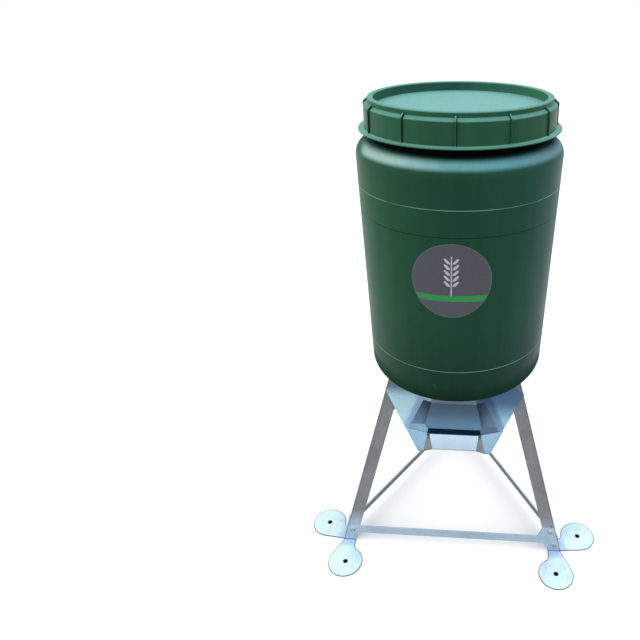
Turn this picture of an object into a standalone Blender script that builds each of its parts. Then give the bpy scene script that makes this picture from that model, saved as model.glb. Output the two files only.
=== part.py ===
"""Pheasant feeder barrel: a green screw-lid keg on a galvanised three-legged stand.

The stand is a pyramid on three sides. Side k looks outwards at azimuth k * 120 degrees,
measured from -Y towards +X, and the legs run down its three edges. Each side carries one
head panel, one rain roof and one crossbar. Metres, +Z up, the origin on the ground under
the middle of the object's outline.
"""
import math

import bmesh
import bpy
from mathutils import Matrix, Vector

# Fits and counts
GAP = 0.0003
SIDES = 3
SIDE_TURN = 2.0 * math.pi / SIDES
TURNED_STEPS = 48
HOLE_STEPS = 8

# Stand: the legs' folds run from the ground to the seat plate
LEG_RADIUS_GROUND = 0.320
LEG_RADIUS_TOP = 0.1705
LEG_WIDTH = 0.032
LEG_THICKNESS = 0.002

# Feet bent out of the legs' flanges
FOOT_DISC_RADIUS = 0.042
FOOT_DISC_REACH = 0.066
FOOT_DISC_SHIFT = 0.018
FOOT_FILLET = 0.015
FOOT_NOTCH = 0.0015
PEG_HOLE_RADIUS = 0.005

# Crossbars, flat bars on the outside of the legs
BAR_HEIGHT = 0.021
BAR_THICKNESS = 0.003
BAR_Z = 0.038
BAR_PAD_WIDTH = 0.0295
BAR_PAD_HEIGHT = 0.058
BAR_PAD_RISE = 0.0055
BAR_EDGE = 0.0015
BAR_BOLT_SPACING = 0.039
BAR_PAD_BOLT_INSET = 0.013
BAR_END_BOLT_INSET = 0.0155
SPARE_HOLE_ABOVE_BOLT = 0.014
SPARE_HOLE_INSET = 0.008

# Seat plate on the leg tops
SEAT_THICKNESS = 0.002
SEAT_CORNER_INSET = 0.0055
SEAT_HOLE_CLEARANCE = 0.003
SKIRT_HEIGHT = 0.024
SKIRT_THICKNESS = 0.0015
SKIRT_END_INSET = 0.0107

# Keg, blow moulded
KEG_FLOOR_Z = 0.474
KEG_RADIUS_LOW = 0.193
KEG_RADIUS_HIGH = 0.200
KEG_HEEL_RADIUS = 0.036
KEG_BODY_TOP = 0.484
KEG_SHOULDER_RISE = 0.029
KEG_NECK_RADIUS = 0.169
KEG_NECK_HEIGHT = 0.0659
KEG_WALL = 0.0035
KEG_OUTLET_RADIUS = 0.045
KEG_LOW_SEAM_HEIGHT = 0.0925
KEG_MIDDLE_SEAM_DROP = 0.103
KEG_TOP_SEAM_DROP = 0.053
SEAM_PROUD = 0.0004
SEAM_HALF_WIDTH = 0.0012
THREAD_PROUD = 0.0025
THREAD_PITCH = 0.012
THREAD_TURNS = 1.5
THREAD_STEPS = 24

# Screw lid, its widths counted from the keg's neck and its heights from its crown
LID_WALL = 0.0035
LID_CHANNEL_CLEARANCE = 0.001
LID_CROWN_WALL = 0.003
LID_THREAD_CLEARANCE = 0.0062
LID_SKIRT_TAPER = 0.0017
LID_FLANGE_WIDTH = 0.0111
LID_FLANGE_THICKNESS = 0.004
LID_PANEL_SUNK = 0.018
LID_SKIRT_DROP = 0.057
LID_LEDGE_DROP = 0.0145
LID_RISER_DROP = 0.0075
LID_RIB_COUNT = 12
LID_RIB_WIDTH = 0.003
LID_RIB_PROUD = 0.0035
LID_THREAD_PROUD = 0.005
LID_THREAD_THICKNESS = 0.003
GASKET_THICKNESS = 0.003

# Sticker on the keg's front
LABEL_RADIUS = 0.075
LABEL_SEAM_CLEARANCE = 0.010
LABEL_THICKNESS = 0.0004
LABEL_AZIMUTH = math.radians(-1.0)
LABEL_RINGS = 4
LABEL_STEPS = 32

# Head panels outside the legs, with a wing at either end; drops are from the legs' tops
# and insets from their folds
PANEL_THICKNESS = 0.0015
PANEL_BAND_DROP = 0.0594
PANEL_TOP_INSET = 0.0137
PANEL_SHOULDER_INSET = 0.0127
PANEL_SHOULDER_DROP = 0.0184
PANEL_POINT_DROP = 0.0334
WING_TIP_S = 0.1090
WING_TIP_DROP = 0.1254
WING_TIP_RADIUS = 0.006
WING_ROOT_S = 0.0702

# Roof flap over each feed mouth
FLAP_THICKNESS = 0.0015
FLAP_CREASE_DROP = 0.0614
FLAP_FLANGE_HEIGHT = 0.040
FLAP_TOP_HALF_WIDTH = 0.047
FLAP_CREASE_HALF_WIDTH = 0.052
FLAP_END_HALF_WIDTH = 0.0665
FLAP_OUT = 0.028
FLAP_DOWN = 0.051
FLAP_CORNER = 0.010

# Feed tray: a three-cornered dish with a set-in lip on each side
TRAY_THICKNESS = 0.0015
TRAY_FLOOR_Z = 0.216
TRAY_CORNER_RADIUS = 0.106
TRAY_CORNER_HEIGHT = 0.092
TRAY_RIM_CORNER_RADIUS = 0.138
TRAY_LIP_HEIGHT = 0.074
LIP_TOP_HALF_WIDTH = 0.060
LIP_TOP_OUT = 0.0036
LIP_FOOT_HALF_WIDTH = 0.055
LIP_FOOT_IN = 0.008
GUSSET_TOP_WIDTH = 0.006
GUSSET_FOOT_WIDTH = 0.023

# Feed hopper between the seat plate and the tray
HOPPER_THICKNESS = 0.0015
HOPPER_LEG_CLEARANCE = 0.0285
HOPPER_FOLD_ABOVE_RIM = 0.027
HOPPER_FOOT_ABOVE_FLOOR = 0.020
HOPPER_FLANGE_WIDTH = 0.022
WINDOW_HEAD_ABOVE_FOLD = 0.010
WINDOW_HEAD_HALF_WIDTH = 0.055

# Clamp ring on the keg's floor, its edges counted from the bolts
RING_THICKNESS = 0.002
RING_INNER_EDGE = 0.0065
RING_OUTER_EDGE = 0.0425

# Bolts, nuts and rivets
BOLT_RADIUS = 0.003
HEAD_RADIUS = 0.0058
HEAD_HEIGHT = 0.004
NUT_HEIGHT = 0.005
BOLT_SPARE = 0.002
RIVET_HEAD_HEIGHT = 0.0022
RIVET_TAIL_RADIUS = 0.0045
RIVET_TAIL_HEIGHT = 0.0025
PANEL_RIVET_INSET = 0.022
PANEL_RIVET_DROP = 0.0124
FLAP_RIVET_ABOVE_CREASE = 0.028
KEG_BOLT_INSET = 0.0085

# Colours
KEG_GREEN = (0.020, 0.085, 0.048, 1.0)
LID_GREEN = (0.035, 0.135, 0.085, 1.0)
SEAL_BLACK = (0.020, 0.020, 0.020, 1.0)
LABEL_GREY = (0.120, 0.115, 0.150, 1.0)
SHEET_ZINC = (0.460, 0.500, 0.540, 1.0)
LEG_ZINC = (0.400, 0.410, 0.420, 1.0)
BOLT_ZINC = (0.550, 0.560, 0.570, 1.0)

# Sizes that follow
SEAT_TOP_Z = KEG_FLOOR_Z - GAP
SEAT_BOTTOM_Z = SEAT_TOP_Z - SEAT_THICKNESS
LEG_TOP_Z = SEAT_BOTTOM_Z - GAP
LEG_SLOPE = (LEG_RADIUS_GROUND - LEG_RADIUS_TOP) / LEG_TOP_Z
SIDE_COS = math.cos(SIDE_TURN / 2.0)
SIDE_SIN = math.sin(SIDE_TURN / 2.0)
LEAN = math.atan(LEG_SLOPE * SIDE_COS)
SIDE_DISTANCE = LEG_RADIUS_GROUND * SIDE_COS
FRONT_REACH = SIDE_DISTANCE + FOOT_DISC_REACH + FOOT_DISC_RADIUS
REAR_REACH = (LEG_RADIUS_GROUND - FOOT_DISC_SHIFT * SIDE_SIN + FOOT_DISC_REACH * SIDE_COS
              + FOOT_DISC_RADIUS)
AXIS_Y = (FRONT_REACH - REAR_REACH) / 2.0
BAR_PAD_Z = BAR_Z + BAR_PAD_RISE
SPARE_HOLE_Z = BAR_PAD_Z + BAR_BOLT_SPACING / 2.0 + SPARE_HOLE_ABOVE_BOLT
SEAT_CORNER_RADIUS = LEG_RADIUS_TOP - SEAT_CORNER_INSET
SEAT_HOLE_RADIUS = KEG_OUTLET_RADIUS + SEAT_HOLE_CLEARANCE
SKIRT_HALF_LENGTH = LEG_RADIUS_TOP * SIDE_SIN - SKIRT_END_INSET
KEG_NECK_FOOT = KEG_BODY_TOP + KEG_SHOULDER_RISE
KEG_NECK_TOP = KEG_NECK_FOOT + KEG_NECK_HEIGHT
KEG_SEAM_HEIGHTS = (KEG_BODY_TOP - KEG_TOP_SEAM_DROP, KEG_BODY_TOP - KEG_MIDDLE_SEAM_DROP,
                    KEG_LOW_SEAM_HEIGHT)
MOUTH_Z = KEG_FLOOR_Z + KEG_NECK_TOP
NECK_BORE = KEG_NECK_RADIUS - KEG_WALL
LID_CROWN_RADIUS = KEG_NECK_RADIUS + LID_CHANNEL_CLEARANCE + LID_CROWN_WALL
LID_BORE = KEG_NECK_RADIUS + THREAD_PROUD + LID_THREAD_CLEARANCE
LID_SKIRT_RADIUS = LID_BORE + LID_WALL
LID_LEDGE_RADIUS = LID_SKIRT_RADIUS - LID_SKIRT_TAPER
LID_FLANGE_RADIUS = LID_SKIRT_RADIUS + LID_FLANGE_WIDTH
LID_CROWN_ABOVE = GAP + GASKET_THICKNESS + GAP + LID_WALL
LABEL_HEIGHT = KEG_BODY_TOP - KEG_MIDDLE_SEAM_DROP - LABEL_SEAM_CLEARANCE - LABEL_RADIUS
PANEL_BAND_Z = LEG_TOP_Z - PANEL_BAND_DROP
PANEL_SHOULDER_Z = LEG_TOP_Z - PANEL_SHOULDER_DROP
PANEL_POINT_Z = LEG_TOP_Z - PANEL_POINT_DROP
WING_TIP_Z = LEG_TOP_Z - WING_TIP_DROP
FLAP_CREASE_Z = LEG_TOP_Z - FLAP_CREASE_DROP
FLAP_RIVET_Z = FLAP_CREASE_Z + FLAP_RIVET_ABOVE_CREASE
FLAP_LENGTH = math.hypot(FLAP_OUT, FLAP_DOWN)
PANEL_RIVET_Z = LEG_TOP_Z - PANEL_RIVET_DROP
PANEL_RIVET_S = (LEG_RADIUS_GROUND - LEG_SLOPE * PANEL_RIVET_Z) * SIDE_SIN - PANEL_RIVET_INSET
TRAY_SLOPE = (TRAY_RIM_CORNER_RADIUS - TRAY_CORNER_RADIUS) / TRAY_CORNER_HEIGHT
TRAY_RIM_CORNER_Z = TRAY_FLOOR_Z + TRAY_CORNER_HEIGHT
TRAY_RIM_LIP_Z = TRAY_FLOOR_Z + TRAY_LIP_HEIGHT
LIP_TOP_DISTANCE = (TRAY_CORNER_RADIUS + TRAY_SLOPE * TRAY_LIP_HEIGHT) * SIDE_COS + LIP_TOP_OUT
LIP_FOOT_DISTANCE = TRAY_CORNER_RADIUS * SIDE_COS - LIP_FOOT_IN
GUSSET_TOP_HALF_WIDTH = LIP_TOP_HALF_WIDTH + GUSSET_TOP_WIDTH
GUSSET_FOOT_HALF_WIDTH = LIP_FOOT_HALF_WIDTH + GUSSET_FOOT_WIDTH
HOPPER_TOP_RADIUS = LEG_RADIUS_TOP - HOPPER_LEG_CLEARANCE
HOPPER_FOLD_Z = TRAY_RIM_CORNER_Z + HOPPER_FOLD_ABOVE_RIM
HOPPER_FOOT_Z = TRAY_FLOOR_Z + HOPPER_FOOT_ABOVE_FLOOR
WINDOW_HEAD_Z = HOPPER_FOLD_Z + WINDOW_HEAD_ABOVE_FOLD
KEG_BOLT_DISTANCE = HOPPER_TOP_RADIUS * SIDE_COS - KEG_BOLT_INSET
RING_INNER_RADIUS = KEG_BOLT_DISTANCE - RING_INNER_EDGE
RING_OUTER_RADIUS = KEG_BOLT_DISTANCE + RING_OUTER_EDGE


def material(name, colour, roughness, metallic):
    """A plain Principled material."""
    new = bpy.data.materials.new(name)
    new.use_nodes = True
    shader = new.node_tree.nodes["Principled BSDF"]
    shader.inputs["Base Color"].default_value = colour
    shader.inputs["Roughness"].default_value = roughness
    shader.inputs["Metallic"].default_value = metallic
    new.diffuse_color = colour
    return new


def add_object(name, mesh, finish=None, matrix=None):
    """A named part of the feeder, carried by the empty on the barrel's axis."""
    part = bpy.data.objects.new(name, mesh)
    feeder.objects.link(part)
    part.parent = barrel_axis
    if matrix is not None:
        part.matrix_local = matrix
    if finish is not None:
        mesh.materials.clear()
        mesh.materials.append(finish)
    mesh.shade_smooth()
    mesh.set_sharp_from_angle(angle=math.radians(25.0))
    return part


def scratch_object(mesh, matrix=None):
    """An object outside the feeder's collection, used to work out a mesh."""
    thing = bpy.data.objects.new("working_piece", mesh)
    thing.hide_render = True
    thing.display_type = "WIRE"
    cutters.objects.link(thing)
    if matrix is not None:
        thing.matrix_world = matrix
    return thing


def evaluated_mesh(thing, name):
    """The mesh that an object's modifiers or curve give, with its doubles merged."""
    bpy.context.view_layer.update()
    graph = bpy.context.evaluated_depsgraph_get()
    mesh = bpy.data.meshes.new_from_object(thing.evaluated_get(graph))
    mesh.name = name
    work = bmesh.new()
    work.from_mesh(mesh)
    bmesh.ops.remove_doubles(work, verts=work.verts, dist=0.00001)
    bmesh.ops.recalc_face_normals(work, faces=work.faces)
    work.to_mesh(mesh)
    work.free()
    return mesh


def joined(name, pieces):
    """One mesh from (mesh, matrix) pairs."""
    work = bmesh.new()
    for mesh, matrix in pieces:
        copy = mesh.copy()
        copy.transform(matrix)
        work.from_mesh(copy)
        bpy.data.meshes.remove(copy)
    result = bpy.data.meshes.new(name)
    work.to_mesh(result)
    work.free()
    return result


def combined(name, base, operations):
    """A mesh with others united with it or cut from it, in order."""
    thing = scratch_object(base)
    helpers = []
    for operation, mesh in operations:
        helper = scratch_object(mesh)
        helpers.append(helper)
        step = thing.modifiers.new(operation.lower(), "BOOLEAN")
        step.operation = operation
        step.solver = "EXACT"
        step.object = helper
    result = evaluated_mesh(thing, name)
    for used in helpers + [thing]:
        bpy.data.objects.remove(used)
    return result


def arc(centre, radius, start, end, steps):
    """Points on a circle from one angle to another."""
    points = []
    for i in range(steps + 1):
        angle = start + (end - start) * i / steps
        points.append((centre[0] + radius * math.cos(angle), centre[1] + radius * math.sin(angle)))
    return points


def circle(centre, radius, steps):
    """Points round a whole circle."""
    return arc(centre, radius, 0.0, 2.0 * math.pi * (steps - 1) / steps, steps - 1)


def plate(name, outlines, thickness, matrix):
    """A flat plate: filled 2D outlines, the later ones being holes in the first."""
    curve = bpy.data.curves.new(name, "CURVE")
    curve.dimensions = "2D"
    curve.fill_mode = "BOTH"
    curve.extrude = thickness / 2.0
    for outline in outlines:
        spline = curve.splines.new("POLY")
        spline.points.add(len(outline) - 1)
        for point, (x, y) in zip(spline.points, outline):
            point.co = (x, y, 0.0, 1.0)
        spline.use_cyclic_u = True
    drawing = scratch_object(curve)
    mesh = evaluated_mesh(drawing, name)
    bpy.data.objects.remove(drawing)
    mesh.transform(matrix)
    return mesh


def turned(name, profile, steps, start_angle=0.0, closed=True):
    """A profile of (radius, height) points carried round the Z axis."""
    mesh = bpy.data.meshes.new(name)
    points = [(radius, 0.0, height) for radius, height in profile]
    edges = [(i, i + 1) for i in range(len(points) - 1)]
    if closed:
        edges.append((len(points) - 1, 0))
    mesh.from_pydata(points, edges, [])
    mesh.transform(Matrix.Rotation(start_angle, 4, "Z"))
    thing = scratch_object(mesh)
    screw = thing.modifiers.new("turn", "SCREW")
    screw.steps = steps
    screw.render_steps = steps
    screw.use_merge_vertices = True
    screw.merge_threshold = 0.0001
    result = evaluated_mesh(thing, name)
    bpy.data.objects.remove(thing)
    return result


def cylinder(radius, low, high, steps, matrix):
    """A closed cylinder along its own Z axis."""
    work = bmesh.new()
    bmesh.ops.create_cone(work, cap_ends=True, segments=steps, radius1=radius, radius2=radius,
                          depth=high - low)
    bmesh.ops.translate(work, verts=work.verts, vec=(0.0, 0.0, (high + low) / 2.0))
    bmesh.ops.transform(work, verts=work.verts, matrix=matrix)
    mesh = bpy.data.meshes.new("cylinder")
    work.to_mesh(mesh)
    work.free()
    return mesh


def drawn_out(name, section, vector):
    """A flat section of 3D points drawn out along a vector."""
    work = bmesh.new()
    face = work.faces.new([work.verts.new(point) for point in section])
    moved = bmesh.ops.extrude_face_region(work, geom=[face])
    tops = [item for item in moved["geom"] if isinstance(item, bmesh.types.BMVert)]
    bmesh.ops.translate(work, verts=tops, vec=vector)
    bmesh.ops.recalc_face_normals(work, faces=work.faces)
    mesh = bpy.data.meshes.new(name)
    work.to_mesh(mesh)
    work.free()
    return mesh


def lofted(name, loops, closed_tube=False):
    """Skin over loops with equally many points, capped at both ends or closed on itself."""
    work = bmesh.new()
    rings = [[work.verts.new(point) for point in loop] for loop in loops]
    count = len(rings[0])
    pairs = list(zip(rings, rings[1:]))
    if closed_tube:
        pairs.append((rings[-1], rings[0]))
    else:
        work.faces.new(list(reversed(rings[0])))
        work.faces.new(rings[-1])
    for low, high in pairs:
        for i in range(count):
            j = (i + 1) % count
            work.faces.new((low[i], low[j], high[j], high[i]))
    bmesh.ops.recalc_face_normals(work, faces=work.faces)
    mesh = bpy.data.meshes.new(name)
    work.to_mesh(mesh)
    work.free()
    return mesh


def turn(k):
    """Rotation from the front side to side k."""
    return Matrix.Rotation(SIDE_TURN * k, 4, "Z")


def side_frame(k, offset):
    """Frame on side k: X along the side, Y up its slope, Z outwards, offset clear of it."""
    across = Vector((1.0, 0.0, 0.0))
    up = Vector((0.0, math.sin(LEAN), math.cos(LEAN)))
    out = across.cross(up)
    frame = Matrix((across, up, out)).transposed().to_4x4()
    frame.translation = Vector((0.0, -SIDE_DISTANCE, 0.0)) + out * offset
    return turn(k) @ frame


def slope_height(z, offset):
    """Distance up the side's slope at which a plane clear of it by offset reaches height z."""
    return (z - offset * math.sin(LEAN)) / math.cos(LEAN)


def leg_radius(z):
    """Distance of a leg's fold from the axis at height z."""
    return LEG_RADIUS_GROUND - LEG_SLOPE * z


def fold_s(z):
    """Distance of a leg's fold from the middle of its side at height z."""
    return leg_radius(z) * SIDE_SIN


def bolt_frame(k, s, z, offset):
    """Frame of a bolt through side k, its head bearing at the given offset."""
    return side_frame(k, offset) @ Matrix.Translation((s, slope_height(z, offset), 0.0))


def on_side(points, offset):
    """(s, z) points of a side as (s, distance up the slope) points."""
    return [(s, slope_height(z, offset)) for s, z in points]


def bolt(name, grip):
    """A hex bolt, its head standing on Z = GAP and its shaft reaching through grip and nut."""
    head = cylinder(HEAD_RADIUS, GAP, GAP + HEAD_HEIGHT, 6, Matrix.Identity(4))
    end = -(grip + GAP + NUT_HEIGHT + BOLT_SPARE)
    shaft = cylinder(BOLT_RADIUS, end, GAP + HEAD_HEIGHT / 2.0, HOLE_STEPS, Matrix.Identity(4))
    return combined(name, head, [("UNION", shaft)])


def nut(name, grip):
    """A hex nut on the far side of the grip."""
    low = -(grip + GAP + NUT_HEIGHT)
    body = cylinder(HEAD_RADIUS, low, low + NUT_HEIGHT, 6, Matrix.Identity(4))
    hole = cylinder(BOLT_RADIUS + GAP, low - GAP, -grip, HOLE_STEPS, Matrix.Identity(4))
    return combined(name, body, [("DIFFERENCE", hole)])


def hole_cutter(frames, grip):
    """Clearance cylinders for bolts at the given frames."""
    hole = cylinder(BOLT_RADIUS + GAP, -(grip + GAP), GAP * 2.0, HOLE_STEPS, Matrix.Identity(4))
    return joined("holes", [(hole, frame) for frame in frames])


def rivet(name, grip):
    """A rivet: a low domed head, the shank through the grip and the set tail behind it."""
    dome = HEAD_RADIUS * 0.7
    low = -(grip + GAP)
    profile = [(0.0, GAP + RIVET_HEAD_HEIGHT), (dome, GAP + RIVET_HEAD_HEIGHT * 0.75),
               (HEAD_RADIUS, GAP), (BOLT_RADIUS, GAP), (BOLT_RADIUS, low),
               (RIVET_TAIL_RADIUS, low), (RIVET_TAIL_RADIUS, low - RIVET_TAIL_HEIGHT),
               (0.0, low - RIVET_TAIL_HEIGHT)]
    return turned(name, profile, HOLE_STEPS, closed=False)


def place_each(name, mesh, frames):
    """One object at each frame, all sharing a mesh."""
    for i, frame in enumerate(frames):
        add_object("%s_%d" % (name, i + 1), mesh, bolt_zinc, frame)


def bolts_and_nuts(name, frames, grip):
    """Bolts at the frames, each with its nut."""
    place_each(name + "_bolt", bolt(name + "_bolt", grip), frames)
    place_each(name + "_nut", nut(name + "_nut", grip), frames)


def round_hole(s, height):
    """Outline of a bolt hole in a plate."""
    return circle((s, height), BOLT_RADIUS + GAP, HOLE_STEPS)


def keg_radius(height):
    """Radius of the keg's tapered body at a height above its floor."""
    share = (height - KEG_HEEL_RADIUS) / (KEG_BODY_TOP - KEG_HEEL_RADIUS)
    return KEG_RADIUS_LOW + (KEG_RADIUS_HIGH - KEG_RADIUS_LOW) * share


def bar_bolts(k):
    """(side, s, z) of one crossbar's bolts: two on its pad and one at its narrow end."""
    spots = []
    for z in (BAR_PAD_Z - BAR_BOLT_SPACING / 2.0, BAR_PAD_Z + BAR_BOLT_SPACING / 2.0):
        spots.append((k, fold_s(z) - BAR_PAD_BOLT_INSET, z))
    spots.append((k, BAR_END_BOLT_INSET - fold_s(BAR_Z), BAR_Z))
    return spots


def make_legs():
    """V-section legs with two feet each, bent from one sheet; the first stands at the rear."""
    fold_low = LEG_THICKNESS / 2.0
    along = [Vector((sign * SIDE_COS, -SIDE_SIN, 0.0)) for sign in (1.0, -1.0)]
    outward = [Vector((sign * SIDE_SIN, SIDE_COS, 0.0)) for sign in (1.0, -1.0)]
    heel = Vector((0.0, leg_radius(fold_low), fold_low))
    wall = LEG_THICKNESS / math.cos(LEAN)
    section = [heel, heel + along[0] * LEG_WIDTH, heel + along[0] * LEG_WIDTH - outward[0] * wall,
               heel - Vector((0.0, wall / SIDE_COS, 0.0)),
               heel + along[1] * LEG_WIDTH - outward[1] * wall, heel + along[1] * LEG_WIDTH]
    rise = Vector((0.0, leg_radius(LEG_TOP_Z) - leg_radius(fold_low), LEG_TOP_Z - fold_low))
    profile = drawn_out("leg_profile", section, rise)
    feet = []
    ground_heel = Vector((0.0, LEG_RADIUS_GROUND, LEG_THICKNESS / 2.0))
    for sign, run, out in zip((1.0, -1.0), along, outward):
        frame = Matrix((run, out, Vector((0.0, 0.0, sign)))).transposed().to_4x4()
        frame.translation = ground_heel
        feet.append(plate("foot", foot_outlines(wall), LEG_THICKNESS, frame))
    panel_side = [bolt_frame(1, PANEL_RIVET_S, PANEL_RIVET_Z, 0.0),
                  bolt_frame(2, -PANEL_RIVET_S, PANEL_RIVET_Z, 0.0)]
    spare = (1, fold_s(SPARE_HOLE_Z) - SPARE_HOLE_INSET, SPARE_HOLE_Z)
    spots = [bar_bolts(1)[0], bar_bolts(1)[1], bar_bolts(2)[2], spare]
    frames = panel_side + [bolt_frame(k, s, z, 0.0) for k, s, z in spots]
    holes = hole_cutter(frames, LEG_THICKNESS)
    mesh = combined("leg", profile, [("UNION", feet[0]), ("UNION", feet[1]), ("DIFFERENCE", holes)])
    for k in range(SIDES):
        add_object("leg_%d" % (k + 1), mesh, leg_zinc, turn(k))


def foot_outlines(wall):
    """A teardrop foot from its bend at Y = 0: a straight heel edge, a disc and an inner fillet."""
    disc = (FOOT_DISC_SHIFT, FOOT_DISC_REACH)
    reach = math.hypot(disc[0] - FOOT_NOTCH, disc[1])
    lean = math.atan2(disc[1], disc[0] - FOOT_NOTCH)
    tangent = lean + math.pi / 2.0 + math.asin(FOOT_DISC_RADIUS / reach)
    fillet_x = LEG_WIDTH + FOOT_FILLET
    drop = math.sqrt((FOOT_DISC_RADIUS + FOOT_FILLET) ** 2 - (fillet_x - disc[0]) ** 2)
    fillet = (fillet_x, disc[1] - drop)
    meet = math.atan2(drop, disc[0] - fillet_x)
    inner = -(wall + GAP)
    outline = [(FOOT_NOTCH, inner), (LEG_WIDTH, inner)]
    outline += arc(fillet, FOOT_FILLET, math.pi, meet, 5)
    outline += arc(disc, FOOT_DISC_RADIUS, meet - math.pi, tangent, 24)[1:]
    outline.append((FOOT_NOTCH, 0.0))
    return [outline, circle(disc, PEG_HOLE_RADIUS, 16)]


def make_crossbars():
    """Flat bars between the legs, each with a widened pad at its right end."""
    offset = GAP + BAR_THICKNESS / 2.0
    half = BAR_HEIGHT / 2.0
    pad_low = BAR_PAD_Z - BAR_PAD_HEIGHT / 2.0
    pad_high = BAR_PAD_Z + BAR_PAD_HEIGHT / 2.0
    low_edge = fold_s(pad_low) - BAR_EDGE
    high_edge = fold_s(pad_high) - BAR_EDGE
    end = (half + BAR_EDGE - fold_s(BAR_Z), BAR_Z)
    points = arc(end, half, math.pi / 2.0, math.pi * 1.5, 8)
    points += [(low_edge - BAR_PAD_WIDTH - half, BAR_Z - half), (low_edge - BAR_PAD_WIDTH, pad_low),
               (low_edge, pad_low), (high_edge, pad_high), (high_edge - BAR_PAD_WIDTH, pad_high),
               (high_edge - BAR_PAD_WIDTH - half, BAR_Z + half)]
    outlines = [on_side(points, offset)]
    for _, s, z in bar_bolts(0):
        outlines.append(round_hole(s, bolt_height(z)))
    for k in range(SIDES):
        mesh = plate("crossbar", outlines, BAR_THICKNESS, side_frame(0, offset))
        add_object("crossbar_%d" % (k + 1), mesh, sheet_zinc, turn(k))
    grip = BAR_THICKNESS + GAP + LEG_THICKNESS
    frames = []
    for k in range(SIDES):
        frames += [bolt_frame(k, s, z, 0.0) @ Matrix.Translation((0.0, 0.0, GAP + BAR_THICKNESS))
                   for _, s, z in bar_bolts(k)]
    bolts_and_nuts("crossbar", frames, grip)


def bolt_height(z):
    """Distance up the slope of a bolt whose axis meets the legs' outer face at height z."""
    return slope_height(z, 0.0)


def make_seat_plate():
    """The plate under the keg, with three skirts inside the legs' flanges."""
    distance = leg_radius(LEG_TOP_Z) * SIDE_COS + GAP + PANEL_THICKNESS + SKIRT_THICKNESS
    half = (SEAT_CORNER_RADIUS - distance * SIDE_COS) / SIDE_SIN
    outline = []
    for k in range(SIDES):
        for s in (-half, half):
            corner = turn(k) @ Vector((s, -distance, 0.0))
            outline.append((corner.x, corner.y))
    outlines = [outline, circle((0.0, 0.0), SEAT_HOLE_RADIUS, 24)]
    for frame in keg_bolt_frames(0.0):
        outlines.append(circle((frame.translation.x, frame.translation.y), BOLT_RADIUS + GAP,
                               HOLE_STEPS))
    top = plate("seat", outlines, SEAT_THICKNESS,
                Matrix.Translation((0.0, 0.0, SEAT_TOP_Z - SEAT_THICKNESS / 2.0)))
    offset = -(LEG_THICKNESS + GAP + SKIRT_THICKNESS / 2.0)
    low = SEAT_BOTTOM_Z - SKIRT_HEIGHT
    high = SEAT_BOTTOM_Z + SEAT_THICKNESS / 2.0
    corners = [(-SKIRT_HALF_LENGTH, low), (SKIRT_HALF_LENGTH, low),
               (SKIRT_HALF_LENGTH, high), (-SKIRT_HALF_LENGTH, high)]
    outlines = [on_side(corners, offset)]
    outlines += [round_hole(s, bolt_height(PANEL_RIVET_Z)) for s in (-PANEL_RIVET_S, PANEL_RIVET_S)]
    skirts = []
    for k in range(SIDES):
        skirts.append(("UNION", plate("skirt", outlines, SKIRT_THICKNESS, side_frame(k, offset))))
    add_object("seat_plate", combined("seat_plate", top, skirts), sheet_zinc)


def keg_bolt_frames(z):
    """Frames of the three bolts through the keg's floor, heads up at height z."""
    return [turn(k) @ Matrix.Translation((0.0, -KEG_BOLT_DISTANCE, z)) for k in range(SIDES)]


def make_head_panels():
    """Face sheets outside the legs: a band with a pointed wing at either end."""
    offset = GAP + PANEL_THICKNESS / 2.0
    point_s = fold_s(PANEL_POINT_Z) - GAP
    tip = (WING_TIP_S, WING_TIP_Z)
    outer = math.atan2(PANEL_POINT_Z - WING_TIP_Z, point_s - WING_TIP_S)
    inner = math.atan2(PANEL_BAND_Z - WING_TIP_Z, WING_ROOT_S - WING_TIP_S)
    right = [(fold_s(LEG_TOP_Z) - PANEL_TOP_INSET, LEG_TOP_Z),
             (fold_s(PANEL_SHOULDER_Z) - PANEL_SHOULDER_INSET, PANEL_SHOULDER_Z),
             (point_s, PANEL_POINT_Z)]
    right += arc(tip, WING_TIP_RADIUS, outer - math.pi / 2.0, inner + math.pi / 2.0 - 2.0 * math.pi, 6)
    right.append((WING_ROOT_S, PANEL_BAND_Z))
    outline = right + [(-s, z) for s, z in reversed(right)]
    outlines = [on_side(outline, offset)]
    for s, z in ((-PANEL_RIVET_S, PANEL_RIVET_Z), (PANEL_RIVET_S, PANEL_RIVET_Z),
                 (0.0, FLAP_RIVET_Z)):
        outlines.append(round_hole(s, bolt_height(z)))
    for k in range(SIDES):
        mesh = plate("head_panel", outlines, PANEL_THICKNESS, side_frame(0, offset))
        add_object("head_panel_%d" % (k + 1), mesh, sheet_zinc, turn(k))
    bearing = GAP + PANEL_THICKNESS
    frames = []
    for k in range(SIDES):
        for s in (-PANEL_RIVET_S, PANEL_RIVET_S):
            spot = bolt_frame(k, s, PANEL_RIVET_Z, 0.0)
            frames.append(spot @ Matrix.Translation((0.0, 0.0, bearing)))
    grip = bearing + LEG_THICKNESS + GAP + SKIRT_THICKNESS
    place_each("panel_rivet", rivet("panel_rivet", grip), frames)


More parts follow.
